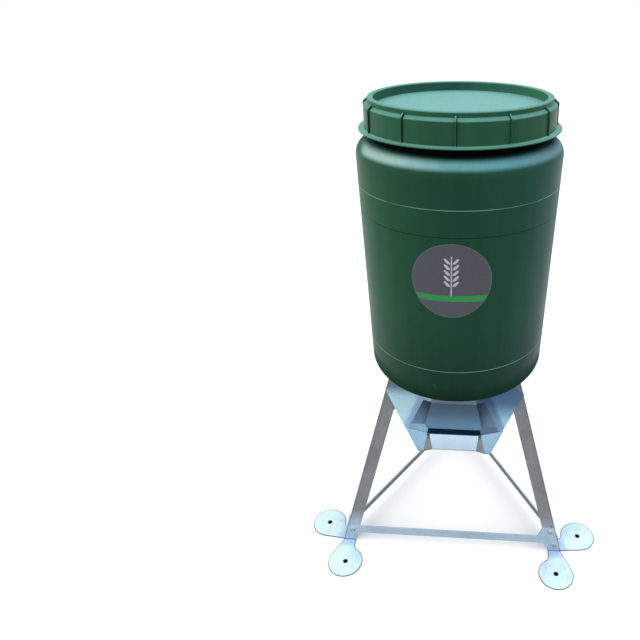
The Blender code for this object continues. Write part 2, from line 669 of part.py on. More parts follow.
def make_roof_flaps():
    """Rain roofs: an upright flange on the panel and a sheet folded outwards below it."""
    offset = 2.0 * GAP + PANEL_THICKNESS + FLAP_THICKNESS
    frame = side_frame(0, offset)
    crease = frame @ Vector((0.0, slope_height(FLAP_CREASE_Z, offset), 0.0))
    top = frame @ Vector((0.0, slope_height(FLAP_CREASE_Z, offset) + FLAP_FLANGE_HEIGHT, 0.0))
    fall = Vector((0.0, -FLAP_OUT, -FLAP_DOWN)) / FLAP_LENGTH
    rows = [(FLAP_TOP_HALF_WIDTH, top), (FLAP_CREASE_HALF_WIDTH, crease)]
    widening = (FLAP_END_HALF_WIDTH - FLAP_CREASE_HALF_WIDTH) / FLAP_LENGTH
    for i in range(5):
        angle = math.pi / 2.0 * i / 4
        run = FLAP_LENGTH - FLAP_CORNER + FLAP_CORNER * math.sin(angle)
        half = FLAP_CREASE_HALF_WIDTH + widening * run - FLAP_CORNER * (1.0 - math.cos(angle))
        rows.append((half, crease + fall * run))
    work = bmesh.new()
    lines = [[work.verts.new(middle + Vector((side * half, 0.0, 0.0))) for side in (-1.0, 1.0)]
             for half, middle in rows]
    for upper, lower in zip(lines, lines[1:]):
        work.faces.new((upper[0], lower[0], lower[1], upper[1]))
    sheet = bpy.data.meshes.new("flap_sheet")
    work.to_mesh(sheet)
    work.free()
    thing = scratch_object(sheet)
    wall = thing.modifiers.new("wall", "SOLIDIFY")
    wall.thickness = FLAP_THICKNESS
    wall.offset = -1.0
    wall.use_even_offset = True
    folded = evaluated_mesh(thing, "flap")
    bpy.data.objects.remove(thing)
    holes = hole_cutter([bolt_frame(0, 0.0, FLAP_RIVET_Z, 0.0)
                         @ Matrix.Translation((0.0, 0.0, offset))], FLAP_THICKNESS)
    mesh = combined("roof_flap", folded, [("DIFFERENCE", holes)])
    for k in range(SIDES):
        add_object("roof_flap_%d" % (k + 1), mesh, sheet_zinc, turn(k))
    frames = [bolt_frame(k, 0.0, FLAP_RIVET_Z, 0.0) @ Matrix.Translation((0.0, 0.0, offset))
              for k in range(SIDES)]
    place_each("flap_rivet", rivet("flap_rivet", offset - GAP), frames)


def tray_radius(z):
    """Distance of the tray's corner folds from the axis at height z."""
    return TRAY_CORNER_RADIUS + TRAY_SLOPE * (z - TRAY_FLOOR_Z)


def tray_loop(corner_z, lip_z, gusset_half, lip_half, lip_distance, inset):
    """A level round the tray: on each side a corner, two gusset ends and the lip between."""
    loop = []
    for k in range(SIDES):
        corner = (-tray_radius(corner_z) * SIDE_SIN, -tray_radius(corner_z) * SIDE_COS, corner_z)
        wall = tray_radius(lip_z) * SIDE_COS
        side = [corner, (-gusset_half, -wall, lip_z), (-lip_half, -lip_distance, lip_z),
                (lip_half, -lip_distance, lip_z), (gusset_half, -wall, lip_z)]
        for x, y, z in side:
            share = 1.0 - inset / wall
            loop.append(turn(k) @ Vector((x * share, y * share, z)))
    return loop


def make_feed_tray():
    """The folded tray: floor, corner walls, gussets and three lips that lean outwards."""
    top = (TRAY_RIM_CORNER_Z, TRAY_RIM_LIP_Z, GUSSET_TOP_HALF_WIDTH, LIP_TOP_HALF_WIDTH,
           LIP_TOP_DISTANCE)
    foot = (GUSSET_FOOT_HALF_WIDTH, LIP_FOOT_HALF_WIDTH, LIP_FOOT_DISTANCE)
    inner_z = TRAY_FLOOR_Z + TRAY_THICKNESS
    loops = [tray_loop(TRAY_FLOOR_Z, TRAY_FLOOR_Z, *foot, 0.0), tray_loop(*top, 0.0),
             tray_loop(*top, TRAY_THICKNESS), tray_loop(inner_z, inner_z, *foot, TRAY_THICKNESS)]
    add_object("feed_tray", lofted("feed_tray", loops), sheet_zinc)


def make_feed_hopper():
    """The three-sided chute, with a window over each lip and its corners standing in the tray."""
    clearance = (TRAY_THICKNESS + 2.0 * GAP) / SIDE_COS
    wall = HOPPER_THICKNESS / SIDE_COS
    top_z = LEG_TOP_Z
    flange = HOPPER_FLANGE_WIDTH / SIDE_COS
    fold = tray_radius(HOPPER_FOLD_Z) - clearance
    foot = tray_radius(HOPPER_FOOT_Z) - clearance
    profile = [(HOPPER_TOP_RADIUS - flange, top_z), (HOPPER_TOP_RADIUS, top_z),
               (fold, HOPPER_FOLD_Z), (foot, HOPPER_FOOT_Z), (foot - wall, HOPPER_FOOT_Z),
               (fold - wall, HOPPER_FOLD_Z), (HOPPER_TOP_RADIUS - wall, top_z - HOPPER_THICKNESS),
               (HOPPER_TOP_RADIUS - flange, top_z - HOPPER_THICKNESS)]
    shell = turned("hopper", profile, SIDES, math.pi / 2.0)
    low = TRAY_FLOOR_Z
    window = [(-GUSSET_FOOT_HALF_WIDTH, low), (GUSSET_FOOT_HALF_WIDTH, low),
              (GUSSET_TOP_HALF_WIDTH, TRAY_RIM_LIP_Z), (WINDOW_HEAD_HALF_WIDTH, WINDOW_HEAD_Z),
              (-WINDOW_HEAD_HALF_WIDTH, WINDOW_HEAD_Z), (-GUSSET_TOP_HALF_WIDTH, TRAY_RIM_LIP_Z)]
    depth = TRAY_CORNER_RADIUS * SIDE_COS
    upright = Matrix.Translation((0.0, -depth, 0.0)) @ Matrix.Rotation(math.pi / 2.0, 4, "X")
    cuts = []
    for k in range(SIDES):
        cuts.append(("DIFFERENCE", plate("window", [window], depth, turn(k) @ upright)))
    bolts = [(cylinder(BOLT_RADIUS + GAP, -HOPPER_THICKNESS * 2.0, HOPPER_THICKNESS, HOLE_STEPS,
                       frame)) for frame in keg_bolt_frames(top_z)]
    cuts.append(("DIFFERENCE", joined("holes", [(mesh, Matrix.Identity(4)) for mesh in bolts])))
    add_object("feed_hopper", combined("feed_hopper", shell, cuts), sheet_zinc)


def helix(name, radius, thickness, centre_z, turns):
    """A screw thread: a rounded ridge that winds round the Z axis."""
    curve = bpy.data.curves.new(name, "CURVE")
    curve.dimensions = "3D"
    curve.bevel_depth = thickness
    curve.bevel_resolution = 0
    curve.use_fill_caps = True
    spline = curve.splines.new("POLY")
    count = int(THREAD_STEPS * turns)
    spline.points.add(count)
    for i, point in enumerate(spline.points):
        angle = 2.0 * math.pi * i / THREAD_STEPS
        z = centre_z + THREAD_PITCH * (i / THREAD_STEPS - turns / 2.0)
        point.co = (radius * math.cos(angle), radius * math.sin(angle), z, 1.0)
    drawing = scratch_object(curve)
    mesh = evaluated_mesh(drawing, name)
    bpy.data.objects.remove(drawing)
    return mesh


def make_keg():
    """The keg's shell with its outlet and bolt holes, and the thread round its neck."""
    outer = [(NECK_BORE, KEG_NECK_TOP), (KEG_NECK_RADIUS, KEG_NECK_TOP)]
    round_x = KEG_RADIUS_HIGH - KEG_NECK_RADIUS - KEG_WALL
    outer.append((KEG_NECK_RADIUS, KEG_NECK_FOOT + KEG_WALL))
    outer.append((KEG_NECK_RADIUS + KEG_WALL, KEG_NECK_FOOT))
    for i in range(1, 6):
        angle = math.pi / 2.0 * (1.0 - i / 5.0)
        outer.append((KEG_RADIUS_HIGH - round_x + round_x * math.cos(angle),
                      KEG_BODY_TOP + KEG_SHOULDER_RISE * math.sin(angle)))
    for seam in KEG_SEAM_HEIGHTS:
        outer.append((keg_radius(seam + SEAM_HALF_WIDTH), seam + SEAM_HALF_WIDTH))
        outer.append((keg_radius(seam) + SEAM_PROUD, seam))
        outer.append((keg_radius(seam - SEAM_HALF_WIDTH), seam - SEAM_HALF_WIDTH))
    heel_x = KEG_RADIUS_LOW - KEG_HEEL_RADIUS
    for i in range(6):
        angle = math.pi / 2.0 * i / 5.0
        outer.append((heel_x + KEG_HEEL_RADIUS * math.cos(angle),
                      KEG_HEEL_RADIUS * (1.0 - math.sin(angle))))
    outer.append((KEG_OUTLET_RADIUS, 0.0))
    inner = [(KEG_OUTLET_RADIUS, KEG_WALL)]
    inner_round = KEG_HEEL_RADIUS - KEG_WALL
    for i in range(4):
        angle = math.pi / 2.0 * (1.0 - i / 3.0)
        inner.append((heel_x + inner_round * math.cos(angle),
                      KEG_HEEL_RADIUS - inner_round * math.sin(angle)))
    inner.append((KEG_RADIUS_HIGH - KEG_WALL, KEG_BODY_TOP))
    for i in range(1, 4):
        angle = math.pi / 2.0 * i / 3.0
        inner.append((KEG_RADIUS_HIGH - round_x + (round_x - KEG_WALL) * math.cos(angle),
                      KEG_BODY_TOP + (KEG_SHOULDER_RISE - KEG_WALL) * math.sin(angle)))
    inner.append((NECK_BORE, KEG_NECK_FOOT))
    profile = [(radius, KEG_FLOOR_Z + height) for radius, height in outer + inner]
    shell = turned("keg", profile, TURNED_STEPS)
    thread_z = MOUTH_Z - LID_SKIRT_DROP / 2.0
    thread = helix("thread", KEG_NECK_RADIUS, THREAD_PROUD, thread_z, THREAD_TURNS)
    holes = [cylinder(BOLT_RADIUS + GAP, -KEG_WALL, 2.0 * KEG_WALL, HOLE_STEPS, frame)
             for frame in keg_bolt_frames(KEG_FLOOR_Z)]
    cutter = joined("holes", [(mesh, Matrix.Identity(4)) for mesh in holes])
    mesh = combined("keg_body", shell, [("UNION", thread), ("DIFFERENCE", cutter)])
    add_object("keg_body", mesh, keg_green)


def make_clamp_ring():
    """The ring on the keg's floor under the bolt heads, and the bolts and nuts."""
    low = KEG_FLOOR_Z + KEG_WALL + GAP
    outlines = [circle((0.0, 0.0), RING_OUTER_RADIUS, TURNED_STEPS // 2),
                circle((0.0, 0.0), RING_INNER_RADIUS, TURNED_STEPS // 2)]
    for frame in keg_bolt_frames(0.0):
        outlines.append(circle((frame.translation.x, frame.translation.y), BOLT_RADIUS + GAP,
                               HOLE_STEPS))
    mesh = plate("clamp_ring", outlines, RING_THICKNESS,
                 Matrix.Translation((0.0, 0.0, low + RING_THICKNESS / 2.0)))
    add_object("clamp_ring", mesh, sheet_zinc)
    bearing = low + RING_THICKNESS
    grip = bearing - (LEG_TOP_Z - HOPPER_THICKNESS)
    bolts_and_nuts("keg", keg_bolt_frames(bearing), grip)


def make_lid():
    """The screw lid: crown ring over the keg's mouth, sunk panel, ribbed skirt and flange."""
    crown = MOUTH_Z + LID_CROWN_ABOVE
    inner = NECK_BORE - LID_CHANNEL_CLEARANCE
    panel = crown - LID_PANEL_SUNK
    skirt_foot = crown - LID_SKIRT_DROP
    ledge = crown - LID_LEDGE_DROP
    channel_top = crown - LID_WALL
    edge = LID_WALL / 2.0
    ring_in = inner - LID_WALL
    profile = [(0.0, panel), (ring_in - edge / 2.0, panel), (ring_in, panel + edge / 2.0),
               (ring_in, crown - edge), (ring_in + edge, crown),
               (LID_CROWN_RADIUS - edge, crown), (LID_CROWN_RADIUS, crown - edge),
               (LID_CROWN_RADIUS - edge / 2.0, crown - LID_RISER_DROP),
               (LID_LEDGE_RADIUS, ledge), (LID_SKIRT_RADIUS, skirt_foot + LID_FLANGE_THICKNESS),
               (LID_FLANGE_RADIUS, skirt_foot + LID_FLANGE_THICKNESS),
               (LID_FLANGE_RADIUS, skirt_foot), (LID_BORE, skirt_foot),
               (LID_BORE, ledge - LID_WALL),
               (KEG_NECK_RADIUS + LID_CHANNEL_CLEARANCE, crown - LID_RISER_DROP - LID_WALL),
               (KEG_NECK_RADIUS + LID_CHANNEL_CLEARANCE, channel_top), (inner, channel_top),
               (inner, panel - LID_WALL), (0.0, panel - LID_WALL)]
    shell = turned("lid", profile, TURNED_STEPS, closed=False)
    rib_outline = [(LID_CROWN_RADIUS - LID_WALL, crown - LID_RISER_DROP - edge),
                   (LID_CROWN_RADIUS + edge, crown - LID_RISER_DROP + edge / 2.0),
                   (LID_LEDGE_RADIUS + LID_RIB_PROUD, ledge + edge / 2.0),
                   (LID_SKIRT_RADIUS + LID_RIB_PROUD, skirt_foot + LID_FLANGE_THICKNESS / 2.0),
                   (LID_SKIRT_RADIUS - edge, skirt_foot + LID_FLANGE_THICKNESS / 2.0),
                   (LID_LEDGE_RADIUS - edge, ledge - edge)]
    upright = Matrix.Rotation(math.pi / 2.0, 4, "X")
    ribs = []
    for i in range(LID_RIB_COUNT):
        around = Matrix.Rotation(2.0 * math.pi * i / LID_RIB_COUNT, 4, "Z")
        ribs.append((plate("rib", [rib_outline], LID_RIB_WIDTH, around @ upright), Matrix.Identity(4)))
    thread_z = MOUTH_Z - LID_SKIRT_DROP / 2.0 + THREAD_PITCH / 2.0
    centre = LID_BORE - LID_THREAD_PROUD + LID_THREAD_THICKNESS
    thread = helix("lid_thread", centre, LID_THREAD_THICKNESS, thread_z, THREAD_TURNS / 2.0)
    mesh = combined("screw_lid", shell, [("UNION", joined("ribs", ribs)), ("UNION", thread)])
    add_object("screw_lid", mesh, lid_green)


def make_gasket():
    """The seal in the lid's channel, just above the keg's mouth."""
    low = MOUTH_Z + GAP
    high = low + GASKET_THICKNESS
    profile = [(NECK_BORE, high), (KEG_NECK_RADIUS, high), (KEG_NECK_RADIUS, low), (NECK_BORE, low)]
    add_object("lid_gasket", turned("lid_gasket", profile, TURNED_STEPS), seal_black)


def make_label():
    """The round sticker, bent to the keg's taper."""
    points = []
    for ring in range(LABEL_RINGS + 1):
        for i in range(LABEL_STEPS if ring else 1):
            angle = 2.0 * math.pi * i / LABEL_STEPS
            across = LABEL_RADIUS * ring / LABEL_RINGS * math.cos(angle)
            height = LABEL_HEIGHT + LABEL_RADIUS * ring / LABEL_RINGS * math.sin(angle)
            radius = keg_radius(height) + GAP
            azimuth = LABEL_AZIMUTH + across / keg_radius(LABEL_HEIGHT)
            points.append((radius * math.sin(azimuth), -radius * math.cos(azimuth),
                           KEG_FLOOR_Z + height))
    faces = []
    for i in range(LABEL_STEPS):
        j = (i + 1) % LABEL_STEPS
        faces.append((0, 1 + i, 1 + j))
        for ring in range(LABEL_RINGS - 1):
            low = 1 + ring * LABEL_STEPS
            high = low + LABEL_STEPS
            faces.append((low + i, high + i, high + j, low + j))
    sheet = bpy.data.meshes.new("label_sheet")
    sheet.from_pydata(points, [], faces)
    thing = scratch_object(sheet)
    wall = thing.modifiers.new("wall", "SOLIDIFY")
    wall.thickness = LABEL_THICKNESS
    wall.offset = 1.0
    mesh = evaluated_mesh(thing, "label_disc")
    bpy.data.objects.remove(thing)
    add_object("label_disc", mesh, label_grey)


for existing in list(bpy.context.scene.objects):
    bpy.data.objects.remove(existing)

feeder = bpy.data.collections.new("pheasant_feeder_barrel")
cutters = bpy.data.collections.new("cutters")
bpy.context.scene.collection.children.link(feeder)
bpy.context.scene.collection.children.link(cutters)
barrel_axis = bpy.data.objects.new("barrel_axis", None)
barrel_axis.location = (0.0, AXIS_Y, 0.0)
feeder.objects.link(barrel_axis)

keg_green = material("keg_green", KEG_GREEN, 0.40, 0.0)
lid_green = material("lid_green", LID_GREEN, 0.42, 0.0)
seal_black = material("seal_black", SEAL_BLACK, 0.80, 0.0)
label_grey = material("label_grey", LABEL_GREY, 0.45, 0.0)
sheet_zinc = material("sheet_zinc", SHEET_ZINC, 0.35, 0.9)
leg_zinc = material("leg_zinc", LEG_ZINC, 0.45, 0.9)
bolt_zinc = material("bolt_zinc", BOLT_ZINC, 0.30, 1.0)

make_keg()
make_lid()
make_gasket()
make_label()
make_seat_plate()
make_clamp_ring()
make_feed_hopper()
make_feed_tray()
make_head_panels()
make_roof_flaps()
make_legs()
make_crossbars()
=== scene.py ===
"""The finish of a pheasant feeder barrel: a green screw-lid keg on a folded-sheet stand."""
import math

import bmesh
import bpy
import numpy as np
from mathutils import Matrix, Vector


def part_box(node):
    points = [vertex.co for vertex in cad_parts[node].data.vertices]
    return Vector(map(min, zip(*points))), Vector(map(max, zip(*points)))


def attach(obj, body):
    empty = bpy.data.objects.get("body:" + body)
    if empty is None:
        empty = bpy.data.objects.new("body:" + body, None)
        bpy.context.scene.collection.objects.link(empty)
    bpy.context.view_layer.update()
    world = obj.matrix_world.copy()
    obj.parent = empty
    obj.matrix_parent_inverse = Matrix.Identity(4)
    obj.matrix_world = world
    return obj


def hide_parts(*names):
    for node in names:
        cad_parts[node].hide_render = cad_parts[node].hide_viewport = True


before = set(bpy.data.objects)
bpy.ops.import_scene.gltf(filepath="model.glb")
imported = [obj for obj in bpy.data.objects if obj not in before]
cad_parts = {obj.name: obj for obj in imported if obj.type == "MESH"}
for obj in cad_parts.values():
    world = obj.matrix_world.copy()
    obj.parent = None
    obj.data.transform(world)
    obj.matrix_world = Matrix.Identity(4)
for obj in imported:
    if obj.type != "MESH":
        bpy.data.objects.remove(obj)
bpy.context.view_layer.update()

# The keg's shell: dark green polyethylene, blow moulded in one piece about 3.5 mm thick,
# with a rounded shoulder and heel, a straight neck and a round outlet cut in its floor.
# Fine raised lines run round it where the parts of the mould met.
ring_low, ring_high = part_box("clamp_ring")
axis_y = (ring_low[1] + ring_high[1]) / 2.0
straight_low, straight_high = 0.510, 0.958
heel_radius, shoulder_radius = 0.193, 0.200
seams = (0.9050, 0.5665)
faint_seam = 0.8550
turn_steps = 288


def surface(name, points, faces, outward=None):
    """A mesh with its doubles merged and its faces looking out.

    A closed shell finds its own outside. An open sheet is turned over where the sum of its
    normals, each times its face's area, points away from the given direction.
    """
    mesh = bpy.data.meshes.new(name)
    mesh.from_pydata(points.tolist(), [], faces)
    work = bmesh.new()
    work.from_mesh(mesh)
    bmesh.ops.remove_doubles(work, verts=work.verts, dist=0.000002)
    bmesh.ops.recalc_face_normals(work, faces=work.faces)
    if outward is not None:
        facing = sum((face.normal * face.calc_area() for face in work.faces), Vector())
        if facing.dot(Vector(outward)) < 0.0:
            bmesh.ops.reverse_faces(work, faces=work.faces)
    work.to_mesh(mesh)
    work.free()
    return mesh


def skin(name, grids, outward=None):
    """A surface over grids of points; each grid is (points, round_first, round_second).

    Cell (i, j) of a grid joins its corners (i, j), (i, j+1), (i+1, j+1) and (i+1, j), and
    wraps round where the grid is closed. Grids that share an edge are welded along it.
    """
    points, quads, start = [], [], 0
    for grid, round_first, round_second in grids:
        rows, columns = grid.shape[:2]
        i, j = np.meshgrid(np.arange(rows if round_first else rows - 1),
                           np.arange(columns if round_second else columns - 1), indexing="ij")
        i, j = i.ravel(), j.ravel()
        next_i, next_j = (i + 1) % rows, (j + 1) % columns
        quads.append(start + np.stack([i * columns + j, i * columns + next_j,
                                       next_i * columns + next_j, next_i * columns + j], axis=1))
        points.append(grid.reshape(-1, 3))
        start += rows * columns
    return surface(name, np.concatenate(points), np.concatenate(quads).tolist(), outward)


def round_axis(radius, azimuth, height):
    """Points about the keg's axis: x = r sin a and y = axis - r cos a, with a from the front."""
    return np.stack(np.broadcast_arrays(radius * np.sin(azimuth),
                                        axis_y - radius * np.cos(azimuth), height), axis=-1)


def turned(profile):
    """Grid of a profile of (radius, height) points turned about the keg's axis.

    Point (i, j) has the radius and height of point i, at azimuth j / turn_steps of a turn.
    """
    azimuth = np.arange(turn_steps) * 2.0 * np.pi / turn_steps
    radius, height = np.asarray(profile).T[:, :, None]
    return round_axis(radius, azimuth, height)


def bend(centre, radius, start, end, steps):
    """Points on an arc of a profile between two angles; radius may be (wide, high)."""
    wide, high = radius if isinstance(radius, tuple) else (radius, radius)
    angle = np.radians(np.linspace(start, end, steps))
    return np.stack([centre[0] + wide * np.cos(angle), centre[1] + high * np.sin(angle)], axis=1)


def wall_radius(height):
    """Radius of the keg's straight wall, which widens evenly from the heel to the shoulder."""
    share = (height - straight_low) / (straight_high - straight_low)
    return heel_radius + (shoulder_radius - heel_radius) * share


def bead(height, level, rise, spread):
    """A line moulded round the wall: rise times e to the power -((height - level) / spread)^2."""
    return rise * np.exp(-((height - level) / spread) ** 2)


def give_finish(mesh, finish):
    """Gives a mesh one material and no other."""
    mesh.materials.clear()
    mesh.materials.append(finish)


def put_in_scene(name, data):
    """A new object in the scene, unturned at the origin."""
    placed = bpy.data.objects.new(name, data)
    bpy.context.scene.collection.objects.link(placed)
    return placed


def show(name, mesh, body, finish, slot, *nodes):
    """A finished piece riding on a body, in place of the given solids."""
    piece = put_in_scene(name, mesh)
    give_finish(mesh, finish)
    mesh.shade_smooth()
    mesh.set_sharp_from_angle(angle=math.radians(35.0))
    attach(piece, body)
    if nodes:
        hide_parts(*nodes)
    return piece


heights = [np.linspace(straight_high, straight_low, 50)]
heights += [seam + np.linspace(-0.0020, 0.0020, 17) for seam in seams + (faint_seam,)]
heights = np.unique(np.concatenate(heights))[::-1]
wall = wall_radius(heights) - bead(heights, faint_seam, 0.00025, 0.0007)
for seam in seams:
    wall += bead(heights, seam, 0.00035, 0.0006)
# Rim and neck, groove, shoulder, wall, heel and floor, outlet, and back up inside.
keg_profile = np.concatenate([
    bend((0.1672, 1.0515), 0.0014, 180, 0, 8), [(0.169, 1.000)],
    bend((0.1725, 0.9905), 0.0035, 180, 270, 6)[1:],
    bend((0.1725, straight_high), (0.0275, 0.029), 88, 2, 20),
    np.stack([wall, heights], axis=1),
    bend((0.157, straight_low), 0.036, -3, -90, 18),
    [(0.10, 0.474), (0.0465, 0.474), (0.045, 0.4755), (0.045, 0.4778), (0.157, 0.4778)],
    bend((0.157, straight_low), 0.0325, -88, 0, 8), [(0.1965, straight_high)],
    bend((0.1725, straight_high), (0.024, 0.0255), 10, 90, 8), [(0.1658, 0.990)]])
keg = skin("keg", [(turned(keg_profile), True, True)])


def feed(tree, node, inputs):
    """Gives a node its inputs, by name or number: a value is set and a socket is linked."""
    for key, value in inputs.items():
        if isinstance(value, bpy.types.NodeSocket):
            tree.links.new(value, node.inputs[key])
        else:
            node.inputs[key].default_value = value


def add(tree, kind, inputs=None, **settings):
    """A shader node with its settings and its inputs."""
    node = tree.nodes.new(kind)
    for key, value in settings.items():
        setattr(node, key, value)
    feed(tree, node, inputs or {})
    return node


def calc(tree, operation, *values, clamp=False):
    """The result of one arithmetic node."""
    return add(tree, "ShaderNodeMath", dict(enumerate(values)), operation=operation,
               use_clamp=clamp).outputs[0]


def times(tree, value, *factors):
    """The product of values."""
    for factor in factors:
        value = calc(tree, "MULTIPLY", value, factor)
    return value


def vector_calc(tree, operation, *vectors):
    """The result of one vector node: a number for a length or a dot product."""
    node = add(tree, "ShaderNodeVectorMath", dict(enumerate(vectors)), operation=operation)
    return node.outputs["Value" if operation in ("LENGTH", "DOT_PRODUCT") else "Vector"]


def ramp(tree, value, low, high, start=0.0, end=1.0, smooth=False):
    """A value carried from the range low..high to start..end and held beyond it."""
    return add(tree, "ShaderNodeMapRange", {0: value, 1: low, 2: high, 3: start, 4: end},
               interpolation_type="SMOOTHSTEP" if smooth else "LINEAR").outputs[0]


def line_at(tree, value, level, half):
    """1 where a value is at a level, fading to 0 at a distance of half either way."""
    off = calc(tree, "ABSOLUTE", calc(tree, "SUBTRACT", value, level))
    return ramp(tree, off, 0.0, half, 1.0, 0.0, smooth=True)


def blend(tree, share, first, second, kind="MIX"):
    """Two colours mixed by a share from 0 to 1."""
    return add(tree, "ShaderNodeMix", {0: share, 6: first, 7: second}, data_type="RGBA",
               blend_type=kind).outputs[2]


def toned(tree, colour, tone):
    """A colour times a tone."""
    return blend(tree, 1.0, colour, tone, "MULTIPLY")


def fade_over(tree, value, colour, *stops, smooth=False):
    """A colour that goes over to each stop's colour in turn; a stop is (low, high, colour),
    and its change runs while the value goes from low to high."""
    for low, high, reached in stops:
        colour = blend(tree, ramp(tree, value, low, high, smooth=smooth), colour, reached)
    return colour


def noise(tree, place, scale, detail, roughness=0.5):
    """Smooth noise from 0 to 1, the finer the larger its scale."""
    return add(tree, "ShaderNodeTexNoise", {"Vector": place, "Scale": scale, "Detail": detail,
                                            "Roughness": roughness}).outputs[0]


def object_place(tree):
    """The object coordinates of a point."""
    return add(tree, "ShaderNodeTexCoord").outputs["Object"]


def apart(tree, vector):
    """The x, y and z of a vector."""
    return add(tree, "ShaderNodeSeparateXYZ", {0: vector}).outputs


def new_group(name, inputs, outputs):
    """An empty node group with its sockets; returns it with its input and output nodes."""
    group = bpy.data.node_groups.new(name, "ShaderNodeTree")
    for direction, sockets in (("INPUT", inputs), ("OUTPUT", outputs)):
        for label, kind in sockets.items():
            group.interface.new_socket(label, in_out=direction, socket_type="NodeSocket" + kind)
    return group, add(group, "NodeGroupInput").outputs, add(group, "NodeGroupOutput")


def use(tree, group, inputs=None):
    """A node group placed in a tree."""
    return add(tree, "ShaderNodeGroup", inputs, node_tree=group)


def plastic_group():
    """Moulded plastic: slow mottling, upright flow streaks, a painted sheen of sky light on the
    faces that look up and a fine bump, from object coordinates."""
    group, given, result = new_group(
        "moulded_plastic", {"Colour": "Color", "Sheen Colour": "Color", "Sheen Start": "Float",
                            "Sheen Full": "Float", "Roughness": "Float"},
        {"Colour": "Color", "Roughness": "Float", "Normal": "Vector"})
    place = object_place(group)
    mottle = noise(group, place, 7.0, 5.0, 0.6)
    upright = add(group, "ShaderNodeMapping", {0: place, "Scale": (40.0, 40.0, 2.2)}).outputs[0]
    streak = noise(group, upright, 1.0, 3.0)
    tone = ramp(group, calc(group, "ADD", mottle, streak), 0.7, 1.3, 0.88, 1.12)
    # Painted light: faces that look up are painted towards the sheen colour, as if lit by the
    # sky, in patches.
    rise = apart(group, add(group, "ShaderNodeNewGeometry").outputs["Normal"])[2]
    sheen_patches = noise(group, place, 46.0, 6.0, 0.72)
    bloom_and_sheen = ramp(group, rise, given["Sheen Start"], given["Sheen Full"], smooth=True)
    bloom_and_sheen = calc(group, "MULTIPLY", bloom_and_sheen, ramp(group, sheen_patches, 0.3, 0.7, 0.86, 1.06),
                 clamp=True)
    colour = blend(group, bloom_and_sheen, toned(group, given["Colour"], tone), given["Sheen Colour"])
    rough = calc(group, "ADD", given["Roughness"], ramp(group, mottle, 0.3, 0.7, -0.05, 0.06))
    rough = calc(group, "MULTIPLY_ADD", bloom_and_sheen, 0.3, rough, clamp=True)
    pores = noise(group, place, 700.0, 2.0)
    waves = noise(group, place, 18.0, 1.0)
    bump = add(group, "ShaderNodeBump", {
        "Strength": 0.35, "Distance": 0.00012,
        "Height": calc(group, "MULTIPLY_ADD", waves, 6.0, pores)}).outputs[0]
    feed(group, result, {"Colour": colour, "Roughness": rough, "Normal": bump})
    return group


def axis_group():
    """Distance of a point from the keg's upright axis, and its azimuth from the front."""
    group, _, result = new_group("round_the_axis", {}, {"Out": "Float", "Swing": "Float"})
    x, y, _ = apart(group, object_place(group))
    forward = calc(group, "SUBTRACT", axis_y, y)
    flat = add(group, "ShaderNodeCombineXYZ", {0: x, 1: forward}).outputs[0]
    feed(group, result, {"Out": vector_calc(group, "LENGTH", flat),
                         "Swing": calc(group, "ARCTAN2", x, forward)})
    return group


def new_material(name):
    """A new material, with its node tree and its shader."""
    made = bpy.data.materials.new(name)
    made.use_nodes = True
    return made, made.node_tree, made.node_tree.nodes["Principled BSDF"]


def surfaced(name, group, varied, plain):
    """A material with a surface group on its shader; returns it with its tree, its shader and
    the group's node. The varied values go to the group, the plain ones to the shader."""
    made, tree, shader = new_material(name)
    coat = use(tree, group, varied)
    feed(tree, shader, {"Base Color": coat.outputs["Colour"],
                        "Roughness": coat.outputs["Roughness"],
                        "Normal": coat.outputs["Normal"], **plain})
    return made, tree, shader, coat


moulded_plastic = plastic_group()
round_the_axis = axis_group()
keg_green, tree, shader, grain = surfaced(
    "keg_green_plastic", moulded_plastic,
    {"Sheen Start": 0.30, "Sheen Full": 0.63, "Roughness": 0.40}, {"Specular IOR Level": 0.08})
place = object_place(tree)
x, y, z = apart(tree, place)

# The plastic is painted lighter on the lit left side, deep in the middle and bluer on the right
# side, and painted shade darkens the heel. The painted sheen on the shoulder does the same,
# whiter on the left as a painted highlight, and thins out at the far left.
body = fade_over(tree, x, (0.0250, 0.1130, 0.0550, 1.0),
                 (-0.175, -0.020, (0.0120, 0.0650, 0.0330, 1.0)),
                 (0.040, 0.185, (0.0165, 0.0790, 0.0600, 1.0)))
body = toned(tree, body, ramp(tree, z, 0.490, 0.670, 0.50, 1.0))
sheen_tint = fade_over(tree, x, (0.40, 0.62, 0.57, 1.0),
                  (-0.105, -0.015, (0.155, 0.40, 0.410, 1.0)),
                  (0.020, 0.100, (0.125, 0.345, 0.405, 1.0)),
                  (0.120, 0.172, (0.160, 0.300, 0.310, 1.0)),
                  (-0.166, -0.180, (0.050, 0.170, 0.120, 1.0)))
feed(tree, grain, {"Colour": body, "Sheen Colour": sheen_tint})

# The two raised seams are drawn as light lines, broken in places, the faint one is dark towards
# the middle, and a scratch climbs to the left over the front of the heel.
seam_breaks = ramp(tree, noise(tree, place, 11.0, 4.0), 0.28, 0.50, 0.3, 1.0)
both_seams = calc(tree, "ADD", *(line_at(tree, z, seam, 0.0013) for seam in seams))
lined = blend(tree, times(tree, both_seams, seam_breaks), grain.outputs["Colour"],
              (0.19, 0.40, 0.30, 1.0))
dark = times(tree, line_at(tree, z, faint_seam, 0.0016),
             ramp(tree, calc(tree, "ABSOLUTE", x), 0.150, 0.185, 0.9, 0.2))
lined = blend(tree, dark, lined, (0.003, 0.013, 0.009, 1.0))
scratch_line = calc(tree, "MULTIPLY_ADD", x, 0.9, z)
scratch = times(tree, line_at(tree, scratch_line, 0.4955, 0.0007),
                line_at(tree, z, 0.5285, 0.008), calc(tree, "LESS_THAN", y, axis_y), 0.55)
lined = blend(tree, scratch, lined, (0.16, 0.30, 0.22, 1.0))
